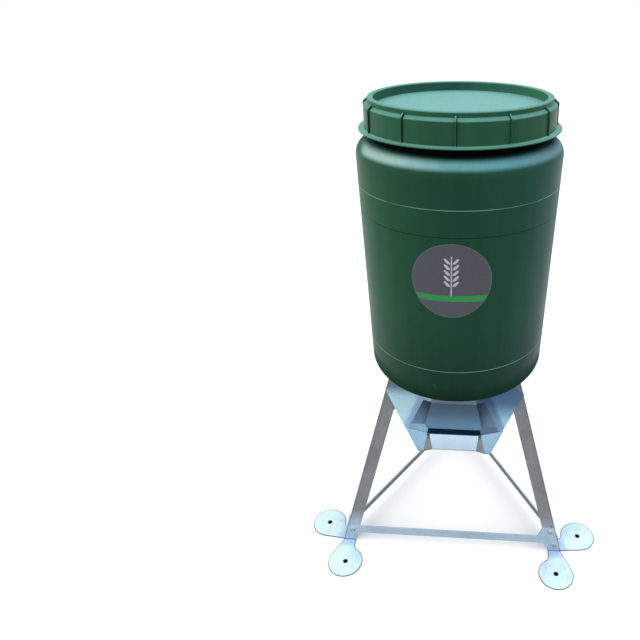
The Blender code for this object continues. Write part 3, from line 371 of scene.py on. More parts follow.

# The groove under the lid is painted dark as the lid's shade, and matt, most of all at the neck's
# foot.
out = use(tree, round_the_axis).outputs["Out"]
groove = times(tree, ramp(tree, out, 0.1725, 0.1925, 1.0, 0.0, smooth=True),
               ramp(tree, z, 0.960, 0.984), ramp(tree, z, 1.0030, 1.0070, 1.0, 0.0))
deep = fade_over(tree, x, (0.045, 0.120, 0.095, 1.0),
                 (-0.110, -0.020, (0.006, 0.045, 0.038, 1.0)))
deep = toned(tree, deep, ramp(tree, out, 0.1692, 0.1725, 0.05, 1.0))
matt = calc(tree, "MAXIMUM", ramp(tree, z, 0.540, 0.495), groove)
feed(tree, shader, {"Base Color": blend(tree, groove, lined, deep),
                    "Roughness": ramp(tree, matt, 0.0, 1.0, grain.outputs["Roughness"], 1.0)})
show("keg_shell", keg, "stand", keg_green, "keg_green", "keg_body")

# The keg's screw thread: a rounded ridge moulded with the neck, one and a half turns long,
# that runs out smoothly at both ends.
neck_radius = 0.1685
thread_turns, run_out = 1.5, 0.06
thread_middle, thread_climb = 1.0244, 0.012
ridge_wide, ridge_high, ridge_least = 0.0028, 0.0026, 0.0002
wound = np.linspace(0.0, thread_turns, 73)[:, None]
swell = np.minimum(1.0, np.minimum(wound, thread_turns - wound) / run_out) ** 0.5
section = np.linspace(0.0, 2.0 * np.pi, 13)[:-1]
thread_radius = neck_radius + (ridge_wide * swell + ridge_least) * np.cos(section)
thread_height = thread_middle + thread_climb * (wound - thread_turns / 2.0) + \
    (ridge_high * swell + ridge_least) * np.sin(section)
thread = skin("thread", [(round_axis(thread_radius, 2.0 * np.pi * wound, thread_height),
                          False, True)])
show("keg_thread", thread, "stand", keg_green, "keg_green")

# The screw lid: green polypropylene, injection moulded, with a raised crown ring over the
# keg's mouth, a sunk panel, a skirt and a thin flange at its foot.
rib_count = 12
rib_pitch = 2.0 * math.pi / rib_count
# Panel, crown ring, step, skirt and flange, and back inside over the seal's groove.
lid_profile = np.concatenate([
    [(0.0, 1.0420), (0.05, 1.0420), (0.10, 1.0420), (0.150, 1.0420)],
    bend((0.1590, 1.0440), 0.0020, 270, 360, 6), [(0.1612, 1.0560)],
    bend((0.1636, 1.0576), 0.0024, 180, 90, 6), bend((0.1702, 1.0572), 0.0028, 90, 5, 8),
    bend((0.1746, 1.0520), 0.0018, 180, 232, 5), bend((0.1769, 1.0445), 0.0030, 55, 3, 7),
    [(0.1805, 1.0300)], bend((0.1829, 1.0090), 0.0016, 180, 246, 5),
    bend((0.1911, 1.0052), 0.0012, 66, -90, 8),
    [(0.1800, 1.0030), (0.1777, 1.0034), (0.1777, 1.0420), (0.1702, 1.0490),
     (0.1700, 1.0565), (0.1645, 1.0565), (0.1643, 1.0385), (0.1560, 1.0385), (0.0, 1.0385)]])
lid = skin("lid", [(turned(lid_profile), False, True)])
lid_green, tree, shader, grain = surfaced(
    "lid_green_plastic", moulded_plastic,
    {"Sheen Start": 0.10, "Sheen Full": 1.0, "Roughness": 0.38}, {"Specular IOR Level": 0.10})
x, y, z = apart(tree, object_place(tree))
out, swing = use(tree, round_the_axis).outputs[:2]


def between(tree, value, start, full, fading, gone):
    """1 where a value lies between full and fading, and 0 below start and above gone."""
    return times(tree, ramp(tree, value, start, full), ramp(tree, value, fading, gone, 1.0, 0.0))


# Painted light: the skirt is painted lighter on the lit left side and the recess inside the crown
# lighter towards the right. The painted sheen is darker on the front of the flange and takes
# another tint over the crown.
skirt = fade_over(tree, x, (0.0350, 0.1500, 0.0700, 1.0),
                  (-0.185, -0.020, (0.0200, 0.0920, 0.0490, 1.0)))
recess = fade_over(tree, x, (0.0210, 0.0950, 0.0640, 1.0),
                   (-0.020, 0.150, (0.0480, 0.1800, 0.1000, 1.0)))
flange_front = times(tree, ramp(tree, z, 1.012, 1.008),
                     ramp(tree, y, axis_y - 0.150, axis_y - 0.080, 1.0, 0.0))
sheen_tint = blend(tree, flange_front, (0.180, 0.430, 0.400, 1.0), (0.105, 0.275, 0.215, 1.0))
sheen_tint = blend(tree, ramp(tree, z, 1.0435, 1.0445, 0.0, 0.85), sheen_tint, (0.120, 0.330, 0.275, 1.0))
feed(tree, grain, {"Colour": blend(tree, ramp(tree, out, 0.1640, 0.1630), skirt, recess),
                   "Sheen Colour": sheen_tint})

# Each rib leaves a painted dark line of shade on the skirt beside it, and a painted highlight
# runs round the flange's brim. The swing is carried past two whole turns, so that the remainder
# is never negative.
past_rib = calc(tree, "MODULO", calc(tree, "ADD", swing, 4.0 * math.pi), rib_pitch)
shaded = times(tree, between(tree, past_rib, 0.0050, 0.0085, 0.0150, 0.0210),
               between(tree, out, 0.1735, 0.1755, 0.1850, 0.1870),
               ramp(tree, z, 1.0060, 1.0085, 0.0, 0.85))
lined = blend(tree, shaded, grain.outputs["Colour"], (0.0040, 0.0200, 0.0120, 1.0))
brim_highlight = times(tree, line_at(tree, out, 0.1850, 0.0013),
             ramp(tree, z, 1.0105, 1.0085, 0.0, 0.75))
feed(tree, shader, {"Base Color": blend(tree, brim_highlight, lined, (0.190, 0.520, 0.350, 1.0))})
show("lid_shell", lid, "lid", lid_green, "lid_green", "screw_lid")

# The lid's grip ribs: twelve thin fins moulded with the skirt, from the crown down to the
# flange, with their edges rounded.
rib_half, rib_round = 0.0015, 0.0006
rib_side = np.array([(0.1715, 1.0500), (0.1742, 1.0540), (0.1752, 1.0546), (0.1827, 1.0478),
                     (0.1834, 1.0462), (0.1846, 1.0085), (0.1846, 1.0066), (0.1790, 1.0060),
                     (0.1780, 1.0440)])


def rib_shells():
    """All the ribs as closed plates: corner (n, h, p) of rib n, half h and outline point p.

    With t = n times the pitch, it lies at x = h cos t + r sin t and y = h sin t - r cos t
    from the axis, at the outline's radius r and height.
    """
    turn = (rib_pitch * np.arange(rib_count))[:, None, None]
    half = np.array([-rib_half, rib_half])[:, None]
    radius, height = rib_side.T
    corners = np.stack(np.broadcast_arrays(
        half * np.cos(turn) + radius * np.sin(turn),
        half * np.sin(turn) - radius * np.cos(turn) + axis_y, height), axis=-1).reshape(-1, 3)
    count = len(rib_side)
    near = np.arange(count)
    onward = (near + 1) % count
    edge_faces = np.stack([near, onward, count + onward, count + near], axis=1)
    faces = []
    for start in range(0, len(corners), 2 * count):
        faces += [(start + near).tolist(), (start + count + near[::-1]).tolist()]
        faces += (start + edge_faces).tolist()
    return corners, faces


ribs = surface("grip_ribs", *rib_shells())
work = bmesh.new()
work.from_mesh(ribs)
bmesh.ops.bevel(work, geom=work.edges, offset=rib_round, segments=2, profile=0.5,
                affect="EDGES")
work.to_mesh(ribs)
work.free()
show("lid_grip_ribs", ribs, "lid", lid_green, "lid_green")

# The seal: a ring of black rubber, cut from sheet and pressed into the groove behind the
# lid's crown, where it closes on the rim of the keg's neck.
rubber, tree, shader = new_material("black_rubber")
bloom_and_sheen = noise(tree, object_place(tree), 60.0, 5.0)
feed(tree, shader, {
    "Base Color": blend(tree, bloom_and_sheen, (0.012, 0.012, 0.012, 1.0), (0.045, 0.046, 0.048, 1.0)),
    "Roughness": ramp(tree, bloom_and_sheen, 0.0, 1.0, 0.6, 0.9)})
give_finish(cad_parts["lid_gasket"].data, rubber)

# The sticker: a round printed film stuck on the keg's front, dark grey violet with a green
# band and an ear of grain.
label_radius = 0.075
label_middle, label_swing = 0.770, math.radians(-1.0)
arc_radius, film_clear = 0.1967, 0.00065
rings = np.linspace(0.0, 1.0, 25)[:, None]
spokes = np.arange(120) * 2.0 * np.pi / 120
label_height = label_middle + label_radius * rings * np.sin(spokes)
label_azimuth = label_swing + label_radius * rings * np.cos(spokes) / arc_radius
label = skin("label", [(round_axis(wall_radius(label_height) + film_clear, label_azimuth,
                                   label_height), False, True)], (0.0, -1.0, 0.0))


def map_picture(mesh):
    """Lays the printed picture on the film: u is the arc from its middle and v the height
    over it, both over the label's radius, so that its rim is the circle of radius 1."""
    spots = np.empty(len(mesh.vertices) * 3)
    mesh.vertices.foreach_get("co", spots)
    spot_x, spot_y, spot_z = spots.reshape(-1, 3).T
    swung = np.arctan2(spot_x, axis_y - spot_y) - label_swing
    flat = np.stack([swung * arc_radius, spot_z - label_middle], axis=1) / label_radius
    picked = np.empty(len(mesh.loops), dtype=int)
    mesh.loops.foreach_get("vertex_index", picked)
    mesh.uv_layers.new(name="picture").data.foreach_set("uv", flat[picked].ravel())


map_picture(label)
film, tree, shader = new_material("printed_film")
spot = add(tree, "ShaderNodeUVMap", uv_map="picture").outputs[0]
u, v, _ = apart(tree, spot)
away = calc(tree, "ABSOLUTE", u)


def inside(tree, value, limit, soften=0.006):
    """1 where a value is under its limit and 0 where it is over, with a soft printed edge."""
    return ramp(tree, value, limit - soften, limit + soften, 1.0, 0.0)


def belt(tree, middle, half):
    """1 where v lies within half of a middle value."""
    off = calc(tree, "ABSOLUTE", calc(tree, "SUBTRACT", v, middle))
    return inside(tree, off, half)


# The ear has a row of slanted oval grains on either side of a straight stalk. The height is
# carried past ten pitches, so that the remainder is never negative.
grain_pitch, grain_slant = 0.150, 0.9
step = calc(tree, "MODULO", calc(tree, "ADD", v, 10.0 * grain_pitch + 0.12), grain_pitch)
grain_x = calc(tree, "SUBTRACT", away, 0.100)
grain_y = calc(tree, "SUBTRACT", step, calc(tree, "MULTIPLY_ADD", grain_x, grain_slant, 0.055))
oval = calc(tree, "ADD", *(calc(tree, "POWER", calc(tree, "DIVIDE", part, reach), 2.0)
                           for part, reach in ((grain_x, 0.082), (grain_y, 0.047))))
grains = times(tree, inside(tree, oval, 1.0, 0.12), belt(tree, 0.255, 0.375))
stalk = times(tree, inside(tree, away, 0.014, 0.005), belt(tree, 0.15, 0.53))
border = calc(tree, "SUBTRACT", 1.0, inside(tree, vector_calc(tree, "LENGTH", spot), 0.975))
fibre = noise(tree, spot, 14.0, 5.0)
print_colour = blend(tree, fibre, (0.088, 0.086, 0.104, 1.0), (0.112, 0.110, 0.130, 1.0))
for printed, ink in ((belt(tree, -0.46, 0.080), (0.036, 0.330, 0.085, 1.0)),
                     (calc(tree, "MAXIMUM", grains, stalk), (0.62, 0.63, 0.68, 1.0)),
                     (border, (0.135, 0.135, 0.165, 1.0))):
    print_colour = blend(tree, printed, print_colour, ink)
feed(tree, shader, {"Base Color": print_colour, "Specular IOR Level": 0.2,
                    "Roughness": ramp(tree, fibre, 0.0, 1.0, 0.40, 0.55)})
show("label_film", label, "stand", film, "label_grey", "label_disc")

# The head panels: zinc-coated steel sheet 1.5 mm thick on the outside of the legs, cut to a
# band with a pointed wing at either end and riveted on. Each wing is pressed inwards along
# a soft crease beside the feed mouth.
side_foot = 0.160
leg_slope = 0.3171
lean = math.atan(leg_slope / 2.0)
sheet_thick = 0.0015
panel_clear = 0.0018
band_top, band_foot = 0.4714, 0.412
wing_edge, wing_root = 0.1450, 0.0702
tip, tip_round = (0.1090, 0.346), 0.006
meets_outer, meets_inner, lowest = -27.3, -149.6, -88.4
crease_at, press_angle = 0.75, math.radians(20.0)
press_top, press_inner = 0.436, 0.054
fade_high, fade_wide = 0.022, 0.016


def to_side(number, x, y):
    """A level position given from the axis for side 1, the front, turned to side number.

    The turn t is 120 degrees a side, about the axis: x cos t - y sin t, x sin t + y cos t.
    """
    turn = 2.0 * math.pi / 3.0 * (number - 1)
    return (x * math.cos(turn) - y * math.sin(turn),
            x * math.sin(turn) + y * math.cos(turn) + axis_y)


def outward_of(number):
    """Level direction in which side number looks."""
    x, y = to_side(number, 0.0, -1.0)
    return (x, y - axis_y, 0.0)


def on_side(number, s, z, clear):
    """Points on side number: s along it, at height z and clear of its plane.

    The side's plane leaves the ground 160 mm from the axis and leans in by the angle lean.
    With u = (z - clear sin lean) / cos lean, the point is s along, and u sin lean - clear cos
    lean in from the ground line.
    """
    s, z, clear = np.broadcast_arrays(s, z, clear)
    up = (z - clear * math.sin(lean)) / math.cos(lean)
    x, y = to_side(number, s, up * math.sin(lean) - clear * math.cos(lean) - side_foot)
    return np.stack([x, y, z], axis=-1)


def soft_step(value):
    """3 v^2 - 2 v^3 of a value held between 0 and 1."""
    value = np.clip(value, 0.0, 1.0)
    return value * value * (3.0 - 2.0 * value)


def pressed(s, z, v, width):
    """Depth of the pressing: sin 20 degrees times the distance past the crease, faded out
    above the feed mouth and towards the middle."""
    past = np.maximum(0.0, v - crease_at) * width
    fade = soft_step((press_top - z) / fade_high) * \
        soft_step((np.abs(s) - press_inner) / fade_wide)
    return past * math.sin(press_angle) * fade


def panel_grids(number):
    """The panel's front face: a band grid and two wing grids with the same columns.

    Column v runs from the outer edge (0) over the crease (0.75) to the root of the wing (1).
    The wing's rows run straight down from the band's foot to the arc of the tip, which the
    outer and inner edges meet at their own angles, and then round to its lowest point.
    """
    columns = np.concatenate([np.linspace(0.0, 0.73, 7), [crease_at, 0.77],
                              np.linspace(0.80, 1.0, 5)])
    band_z = np.array([band_top, 0.465, 0.459, 0.453, 0.448, 0.443, 0.438, 0.434, 0.430, 0.426,
                       0.422, 0.417, band_foot])
    band_edge = np.interp(band_z, [band_foot, 0.438, 0.453, band_top],
                          [wing_edge, 0.1565, 0.140, 0.134])[:, None]
    band_side = band_edge * (1.0 - columns) + wing_root * columns
    middle = np.linspace(wing_root, -wing_root, 13)[None, 1:-1] * np.ones((len(band_z), 1))
    band_s = np.concatenate([band_side, middle, -band_side[:, ::-1]], axis=1)
    band_v = np.concatenate([columns, np.ones(11), columns[::-1]])
    band_z = band_z[:, None]
    depth = pressed(band_s, band_z, band_v, band_edge - wing_root)
    grids = [(on_side(number, band_s, band_z, panel_clear - depth), False, False)]
    share = np.linspace(0.0, 1.0, 13)
    edges = []
    for start, angle in ((wing_edge, meets_outer), (wing_root, meets_inner)):
        rounded = bend(tip, tip_round, angle, lowest, 6)
        straight = np.outer(1.0 - share, (start, band_foot)) + np.outer(share, rounded[0])
        edges.append(np.concatenate([straight, rounded[1:]]))
    outer, inner = edges
    wing = outer[:, None, :] * (1.0 - columns)[None, :, None] + \
        inner[:, None, :] * columns[None, :, None]
    wing_s, wing_z = wing[..., 0], wing[..., 1]
    depth = pressed(wing_s, wing_z, columns, (outer - inner)[:, None, 0])
    for sign in (1.0, -1.0):
        grids.append((on_side(number, sign * wing_s, wing_z, panel_clear - depth), False, False))
    return grids


def zinc_group():
    """Zinc coating: faint crystals, a cloudy bloom, small dark specks and a light bump."""
    group, given, result = new_group(
        "zinc_coat", {"Colour": "Color", "Contrast": "Float", "Crystals": "Float",
                      "Roughness": "Float"},
        {"Colour": "Color", "Roughness": "Float", "Normal": "Vector"})
    place = object_place(group)
    wander = add(group, "ShaderNodeTexNoise", {"Vector": place, "Scale": 30.0,
                                               "Detail": 2.0}).outputs["Color"]
    moved = vector_calc(group, "MULTIPLY_ADD", wander, (0.03, 0.03, 0.03), place)
    cells = add(group, "ShaderNodeTexVoronoi", {"Vector": moved, "Scale": 95.0})
    grey = add(group, "ShaderNodeSeparateColor", {0: cells.outputs["Color"]}).outputs[0]
    cloud = noise(group, place, 13.0, 6.0, 0.62)
    fine = noise(group, place, 260.0, 3.0)
    mixed = calc(group, "MULTIPLY_ADD", grey, given["Crystals"], cloud)
    darker = times(group, ramp(group, mixed, 0.35, 0.95), given["Contrast"])
    colour = toned(group, given["Colour"], calc(group, "SUBTRACT", 1.0, darker))
    colour = blend(group, ramp(group, fine, 0.68, 0.78, 0.0, 0.3), colour,
                   (0.13, 0.15, 0.17, 1.0))
    rough = calc(group, "ADD", given["Roughness"], ramp(group, mixed, 0.3, 1.0, -0.07, 0.10),
                 clamp=True)
    bump = add(group, "ShaderNodeBump", {
        "Strength": 0.4, "Distance": 0.00015,
        "Height": calc(group, "MULTIPLY_ADD", cloud, 3.0, fine)}).outputs[0]
    feed(group, result, {"Colour": colour, "Roughness": rough, "Normal": bump})
    return group


def lie_group():
    """How a point of the stand lies to its own side, and how its face looks.

    Reach is the distance out from the axis square to the side: the largest of the three
    products of the level position with the sides' outward directions. Along is the distance
    off the side's middle, the root of r^2 less Reach^2. Inwards is 1 on faces that look
    towards the axis and 0 on those that look away. Rise is the height of a face's normal.
    """
    group, _, result = new_group("lie_of_the_sheets", {}, {
        "Reach": "Float", "Along": "Float", "Inwards": "Float", "Rise": "Float"})
    level = vector_calc(group, "SUBTRACT", object_place(group), (0.0, axis_y, 0.0))
    level = vector_calc(group, "MULTIPLY", level, (1.0, 1.0, 0.0))
    first, second, third = (vector_calc(group, "DOT_PRODUCT", level, outward_of(number))
                            for number in (1, 2, 3))
    reach = calc(group, "MAXIMUM", calc(group, "MAXIMUM", first, second), third)
    along = calc(group, "SQRT", calc(group, "SUBTRACT", vector_calc(
        group, "DOT_PRODUCT", level, level), times(group, reach, reach)))
    facing = add(group, "ShaderNodeNewGeometry").outputs["True Normal"]
    inwards = ramp(group, vector_calc(group, "DOT_PRODUCT", level, facing), -0.004, -0.001,
                   1.0, 0.0)
    feed(group, result, {"Reach": reach, "Along": along, "Inwards": inwards,
                         "Rise": apart(group, facing)[2]})
    return group


def zinc(name, contrast, crystals, roughness, metallic):
    """A material of zinc-coated steel; returns it with its tree and its coat."""
    made, tree, _, coat = surfaced(
        name, zinc_coat, {"Contrast": contrast, "Crystals": crystals, "Roughness": roughness},
        {"Metallic": metallic, "Specular IOR Level": 0.25})
    return made, tree, coat


def broken_edges(piece, width, sharper_than, name="broken_edges", segments=2):
    """Rounds a piece's edges that turn by more than an angle, given in degrees."""
    bevel = piece.modifiers.new(name, "BEVEL")
    bevel.width = width
    bevel.segments = segments
    bevel.limit_method = "ANGLE"
    bevel.angle_limit = math.radians(sharper_than)


def thickened(piece):
    """Gives a sheet its thickness behind the drawn face and breaks its cut edges."""
    wall = piece.modifiers.new("thickness", "SOLIDIFY")
    wall.thickness = sheet_thick
    wall.offset = -1.0
    wall.use_even_offset = True
    broken_edges(piece, 0.0003, 50.0)


zinc_coat = zinc_group()
lie_of_the_sheets = lie_group()
wing_zinc, tree, coat = zinc("wing_zinc", contrast=0.14, crystals=0.10, roughness=0.46,
                             metallic=0.15)
x, _, z = apart(tree, object_place(tree))
along = use(tree, lie_of_the_sheets).outputs["Along"]

# The pressed part of a wing is painted darker, as a face turned from the light, and the keg's
# shadow is painted on the top of both wings, more on the right than on the left.
rightwards = ramp(tree, x, -0.030, 0.060)
crease = calc(tree, "MULTIPLY_ADD", z, -0.45, ramp(tree, rightwards, 0.0, 1.0, 0.2730, 0.27765))
past = ramp(tree, calc(tree, "SUBTRACT", crease, along), -0.0060, 0.0070, smooth=True)
pressed_in = blend(tree, rightwards, (0.380, 0.610, 0.840, 1.0), (0.270, 0.440, 0.620, 1.0))
tone = blend(tree, past, (0.58, 0.87, 1.0, 1.0), pressed_in)
left = fade_over(tree, z, (1.0, 1.0, 1.0, 1.0), (0.418, 0.452, (0.26, 0.31, 0.37, 1.0)),
                 smooth=True)
right = fade_over(tree, z, (0.86, 0.93, 1.0, 1.0), (0.352, 0.424, (0.15, 0.22, 0.33, 1.0)),
                  smooth=True)
feed(tree, coat, {"Colour": toned(tree, tone, blend(tree, rightwards, left, right))})
for number in (1, 2, 3):
    panel = skin("head_panel_sheet", panel_grids(number), outward_of(number))
    thickened(show("head_panel_sheet_%d" % number, panel, "stand", wing_zinc, "sheet_zinc",
                   "head_panel_%d" % number))

# The rain roofs: one zinc-coated sheet over each feed mouth, 1.5 mm thick, with its top third
# riveted flat on the panel and the rest folded outwards, its lower corners cut round.
roof_top, roof_fold, roof_clear = 0.450, 0.410, 0.0036
roof_flat, fold_round, corner_round = 0.034, 0.005, 0.010
fall_out, fall_down = 0.028, 0.051
fall_length = math.hypot(fall_out, fall_down)
half_at_top, half_at_fold, half_at_edge = 0.047, 0.052, 0.0665


def roof_grid(number):
    """The roof's front face: rows down the sheet, columns across it.

    The rows follow the panel to the fold at height 0.410, go round it on a quadratic curve
    q(t) = (1-t)^2 a + 2t(1-t) b + t^2 c, and then fall 28 mm outwards in 51 mm down. Over the
    last 10 mm the half width is drawn in by 10 mm times 1 - cos of an angle whose sine is the
    share of the way, which rounds the corners.
    """
    top = on_side(1, 0.0, roof_top, roof_clear)[1:]
    fold = on_side(1, 0.0, roof_fold, roof_clear)[1:]
    down = (fold - top) / np.linalg.norm(fold - top)
    fall = np.array([-fall_out, -fall_down]) / fall_length
    t = np.linspace(0.0, 1.0, 7)[:, None]
    straight = np.linspace(0.0, roof_flat, 5)
    curve = (1 - t) ** 2 * (fold - down * fold_round) + 2 * t * (1 - t) * fold + \
        t ** 2 * (fold + fall * fold_round)
    angle = np.radians(np.linspace(0.0, 90.0, 8))[1:]
    square = fall_length - corner_round
    run = np.concatenate([np.linspace(0.010, square, 8), square + corner_round * np.sin(angle)])
    path = np.concatenate([top + down * straight[:, None], curve, fold + fall * run[:, None]])
    half = np.concatenate([
        half_at_top + (half_at_fold - half_at_top) * straight / (roof_top - roof_fold),
        np.full(7, half_at_fold),
        half_at_fold + (half_at_edge - half_at_fold) / fall_length * run])
    half[-7:] -= corner_round * (1.0 - np.cos(angle))
    across = half[:, None] * np.linspace(-1.0, 1.0, 15)
    x, y = to_side(number, across, path[:, :1] - axis_y)
    return np.stack([x, y, np.broadcast_to(path[:, 1:], x.shape)], axis=2)


roof_zinc, tree, coat = zinc("roof_zinc", contrast=0.20, crystals=0.10, roughness=0.42,
                             metallic=0.10)
z = apart(tree, object_place(tree))[2]

# Painted shade: the slope is painted darker up under the fold, in the keg's shade, and bluer
# towards its edge, and the flat top is painted grey as a band in shade.
tone = fade_over(tree, z, (0.140, 0.265, 0.385, 1.0), (0.360, 0.402, (0.085, 0.155, 0.235, 1.0)),
                 smooth=True)
tone = fade_over(tree, z, tone, (0.4095, 0.4115, (0.21, 0.29, 0.36, 1.0)))
tone = blend(tree, ramp(tree, z, 0.384, 0.360, 0.0, 0.8), tone, (0.125, 0.280, 0.460, 1.0))
feed(tree, coat, {"Colour": tone})
for number in (1, 2, 3):
    roof = skin("roof_flap_sheet", [(roof_grid(number), False, False)], outward_of(number))
    thickened(show("roof_flap_sheet_%d" % number, roof, "stand", roof_zinc, "sheet_zinc",
                   "roof_flap_%d" % number))

# The feed tray: one zinc-coated sheet 1.5 mm thick, folded up into a three-cornered dish. On
# each side a lip is set in between two gussets and leans outwards, so that a bird can reach
# the grain.
# The tray's faces are painted lit and shaded copies of one zinc: the corners and the lip lit, the
# gussets and the base in shade.
corner_lit, gusset_shaded = (0.37, 0.60, 0.81, 1.0), (0.30, 0.31, 0.32, 1.0)
lip_lit, base_shaded = (0.66, 0.86, 1.0, 1.0), (0.30, 0.31, 0.32, 1.0)


def tray_level(corner, corner_z, wall, z, gusset_half, lip_half, lip_out):
    """Points round the tray at one level: on each side a corner at a distance from the axis,
    60 degrees from the side's middle, then the first gusset's outer end, both ends of the
    lip, where the gussets end, and the second gusset's outer end."""
    x = np.array([-corner * math.sin(math.pi / 3.0), -gusset_half, -lip_half, lip_half,
                  gusset_half])
    y = np.array([-corner * 0.5, -wall, -lip_out, -lip_out, -wall])
    height = np.array([corner_z, z, z, z, z])
    return np.concatenate([np.stack([*to_side(number, x, y), height], axis=1)
                           for number in (1, 2, 3)])


foot_level = tray_level(corner=0.106, corner_z=0.216, wall=0.053, z=0.216, gusset_half=0.078,
                        lip_half=0.055, lip_out=0.045)
rim_level = tray_level(corner=0.138, corner_z=0.308, wall=0.06587, z=0.290, gusset_half=0.066,
                       lip_half=0.060, lip_out=0.0695)
near = np.arange(len(foot_level))
onward = np.roll(near, -1)
walls = np.stack([near, onward, len(near) + onward, len(near) + near], axis=1)
tray = surface("tray_sheet", np.concatenate([foot_level, rim_level]),
               walls.tolist() + [near[::-1].tolist()], (0.0, 0.0, -1.0))
lit_and_shaded = np.array(3 * [corner_lit, gusset_shaded, lip_lit, gusset_shaded, corner_lit]
                 + [base_shaded])
tray.attributes.new("facet_shading", "FLOAT_COLOR", "CORNER").data.foreach_set(
    "color", np.repeat(lit_and_shaded, len(walls) * [4] + [len(near)], axis=0).ravel())
tray_zinc, tree, coat = zinc("tray_zinc", contrast=0.12, crystals=0.08, roughness=0.42,
                             metallic=0.60)
z = apart(tree, object_place(tree))[2]
facet_shading = add(tree, "ShaderNodeAttribute", attribute_name="facet_shading").outputs["Color"]
lie = use(tree, lie_of_the_sheets).outputs
looks_up = ramp(tree, lie["Rise"], 0.60, 0.75)

# Painted shade darkens the notch between lip and gusset and the foot, the inside is painted a
# shaded blue, and the cut rim is painted bright as lit from above.
notch = times(tree, between(tree, lie["Along"], 0.0590, 0.0600, 0.0655, 0.0665),
              ramp(tree, z, 0.262, 0.286))
facet_shading = blend(tree, notch, facet_shading, (0.035, 0.065, 0.095, 1.0))
facet_shading = blend(tree, ramp(tree, z, 0.226, 0.217, 0.0, 0.55), facet_shading, (0.13, 0.16, 0.19, 1.0))
within = calc(tree, "MAXIMUM", lie["Inwards"], looks_up)
tone = blend(tree, within, facet_shading, (0.085, 0.230, 0.400, 1.0))
rim = times(tree, looks_up, calc(tree, "GREATER_THAN", z, 0.280))
feed(tree, coat, {"Colour": blend(tree, rim, tone, (0.45, 0.68, 0.88, 1.0))})
piece = show("tray_sheet", tray, "stand", tray_zinc, "sheet_zinc", "feed_tray")
broken_edges(piece, 0.0016, 15.0, name="folds", segments=3)
thickened(piece)

# The hopper: one zinc-coated sheet 1.5 mm thick, folded into a three-sided chute that hangs
# from the keg's floor, with a window over each lip and its corners standing in the tray.


def sheet_work(node):
    """A copy of a sheet's solid with its loose triangles merged and its flats joined up."""
    work = bmesh.new()
    work.from_mesh(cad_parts[node].data)
    bmesh.ops.remove_doubles(work, verts=work.verts, dist=0.00001)
    bmesh.ops.dissolve_limit(work, angle_limit=math.radians(0.5), verts=work.verts,
                             edges=work.edges)
    return work


def show_sheet(name, work, node, finish, slot, broken=0.0003):
    """The worked copy as a piece, with its edges broken by a small bevel."""
    mesh = bpy.data.meshes.new(name)
    work.to_mesh(mesh)
    work.free()
    broken_edges(show(name, mesh, "stand", finish, slot, node), broken, 28.0)


inner_zinc, tree, coat = zinc("inner_zinc", contrast=0.25, crystals=0.10, roughness=0.42,
                              metallic=0.10)
x, _, z = apart(tree, object_place(tree))
lie = use(tree, lie_of_the_sheets).outputs

# Painted shade: above its fold the chute is painted darker upwards, under the keg, and away from
# its corners.
# Below the fold it is painted pale on the left and darker on the right, and its inside is painted
# a shaded blue.
tone = fade_over(tree, z, (0.185, 0.330, 0.490, 1.0), (0.335, 0.405, (0.070, 0.130, 0.200, 1.0)),
                 smooth=True)
tone = toned(tree, tone, ramp(tree, lie["Along"], 0.060, 0.082, 0.30, 1.25))
low = fade_over(tree, x, (0.51, 0.78, 1.0, 1.0), (-0.030, 0.030, (0.170, 0.280, 0.400, 1.0)))
tone = blend(tree, ramp(tree, z, 0.319, 0.322), low, tone)
feed(tree, coat, {"Colour": blend(tree, lie["Inwards"], tone, (0.085, 0.230, 0.400, 1.0))})
show_sheet("hopper_sheet", sheet_work("feed_hopper"), "feed_hopper", inner_zinc, "sheet_zinc")

# The seat plate: 2 mm zinc-coated sheet on the leg tops, with three folded skirts, that
# carries the keg. A ring of the same sheet on the keg's floor inside spreads the pull of the
# three bolts.
seat_zinc, tree, coat = zinc("seat_zinc", contrast=0.30, crystals=0.15, roughness=0.42,
                             metallic=0.30)
z = apart(tree, object_place(tree))[2]
# Painted shade: the seat's sheet is painted darker towards its top, under the keg.
feed(tree, coat, {"Colour": fade_over(tree, z, (0.22, 0.29, 0.36, 1.0),
                                      (0.440, 0.470, (0.18, 0.25, 0.32, 1.0)))})
show_sheet("seat_sheet", sheet_work("seat_plate"), "seat_plate", seat_zinc, "sheet_zinc")
show_sheet("ring_sheet", sheet_work("clamp_ring"), "clamp_ring", seat_zinc, "sheet_zinc")

# The legs: 2 mm steel folded to a V and hot-dip galvanised to a dull grey. Each ends in two feet
# bent out flat on the ground and painted bright where they face the sky, with a hole for a peg.
foot_top, cut_width = 0.0026, 0.0013
fold_at_ground, fold_slope = 0.27713, -0.27462
leg_zinc, tree, coat = zinc("leg_zinc", contrast=0.26, crystals=0.22, roughness=0.50,
                            metallic=0.10)
z = apart(tree, object_place(tree))[2]
lie = use(tree, lie_of_the_sheets).outputs
reach, along, rise = lie["Reach"], lie["Along"], lie["Rise"]

# A leg is painted lighter near the ground, has fine lines drawn along its fold, and has painted
# shade in the fold itself.
shank = fade_over(tree, z, (0.47, 0.62, 0.77, 1.0), (0.045, 0.105, (0.29, 0.30, 0.31, 1.0)),
                  smooth=True)
from_fold = calc(tree, "SUBTRACT", calc(tree, "MULTIPLY_ADD", z, fold_slope, fold_at_ground),
                 along)
drawn = add(tree, "ShaderNodeCombineXYZ", {0: times(tree, from_fold, 260.0),
                                           1: times(tree, z, 2.5)}).outputs[0]
shank = toned(tree, shank, ramp(tree, noise(tree, drawn, 1.0, 3.0), 0.30, 0.70, 0.90, 1.08))
shank = blend(tree, ramp(tree, from_fold, 0.0045, 0.0015, 0.0, 0.6), shank,
              (0.16, 0.17, 0.18, 1.0))
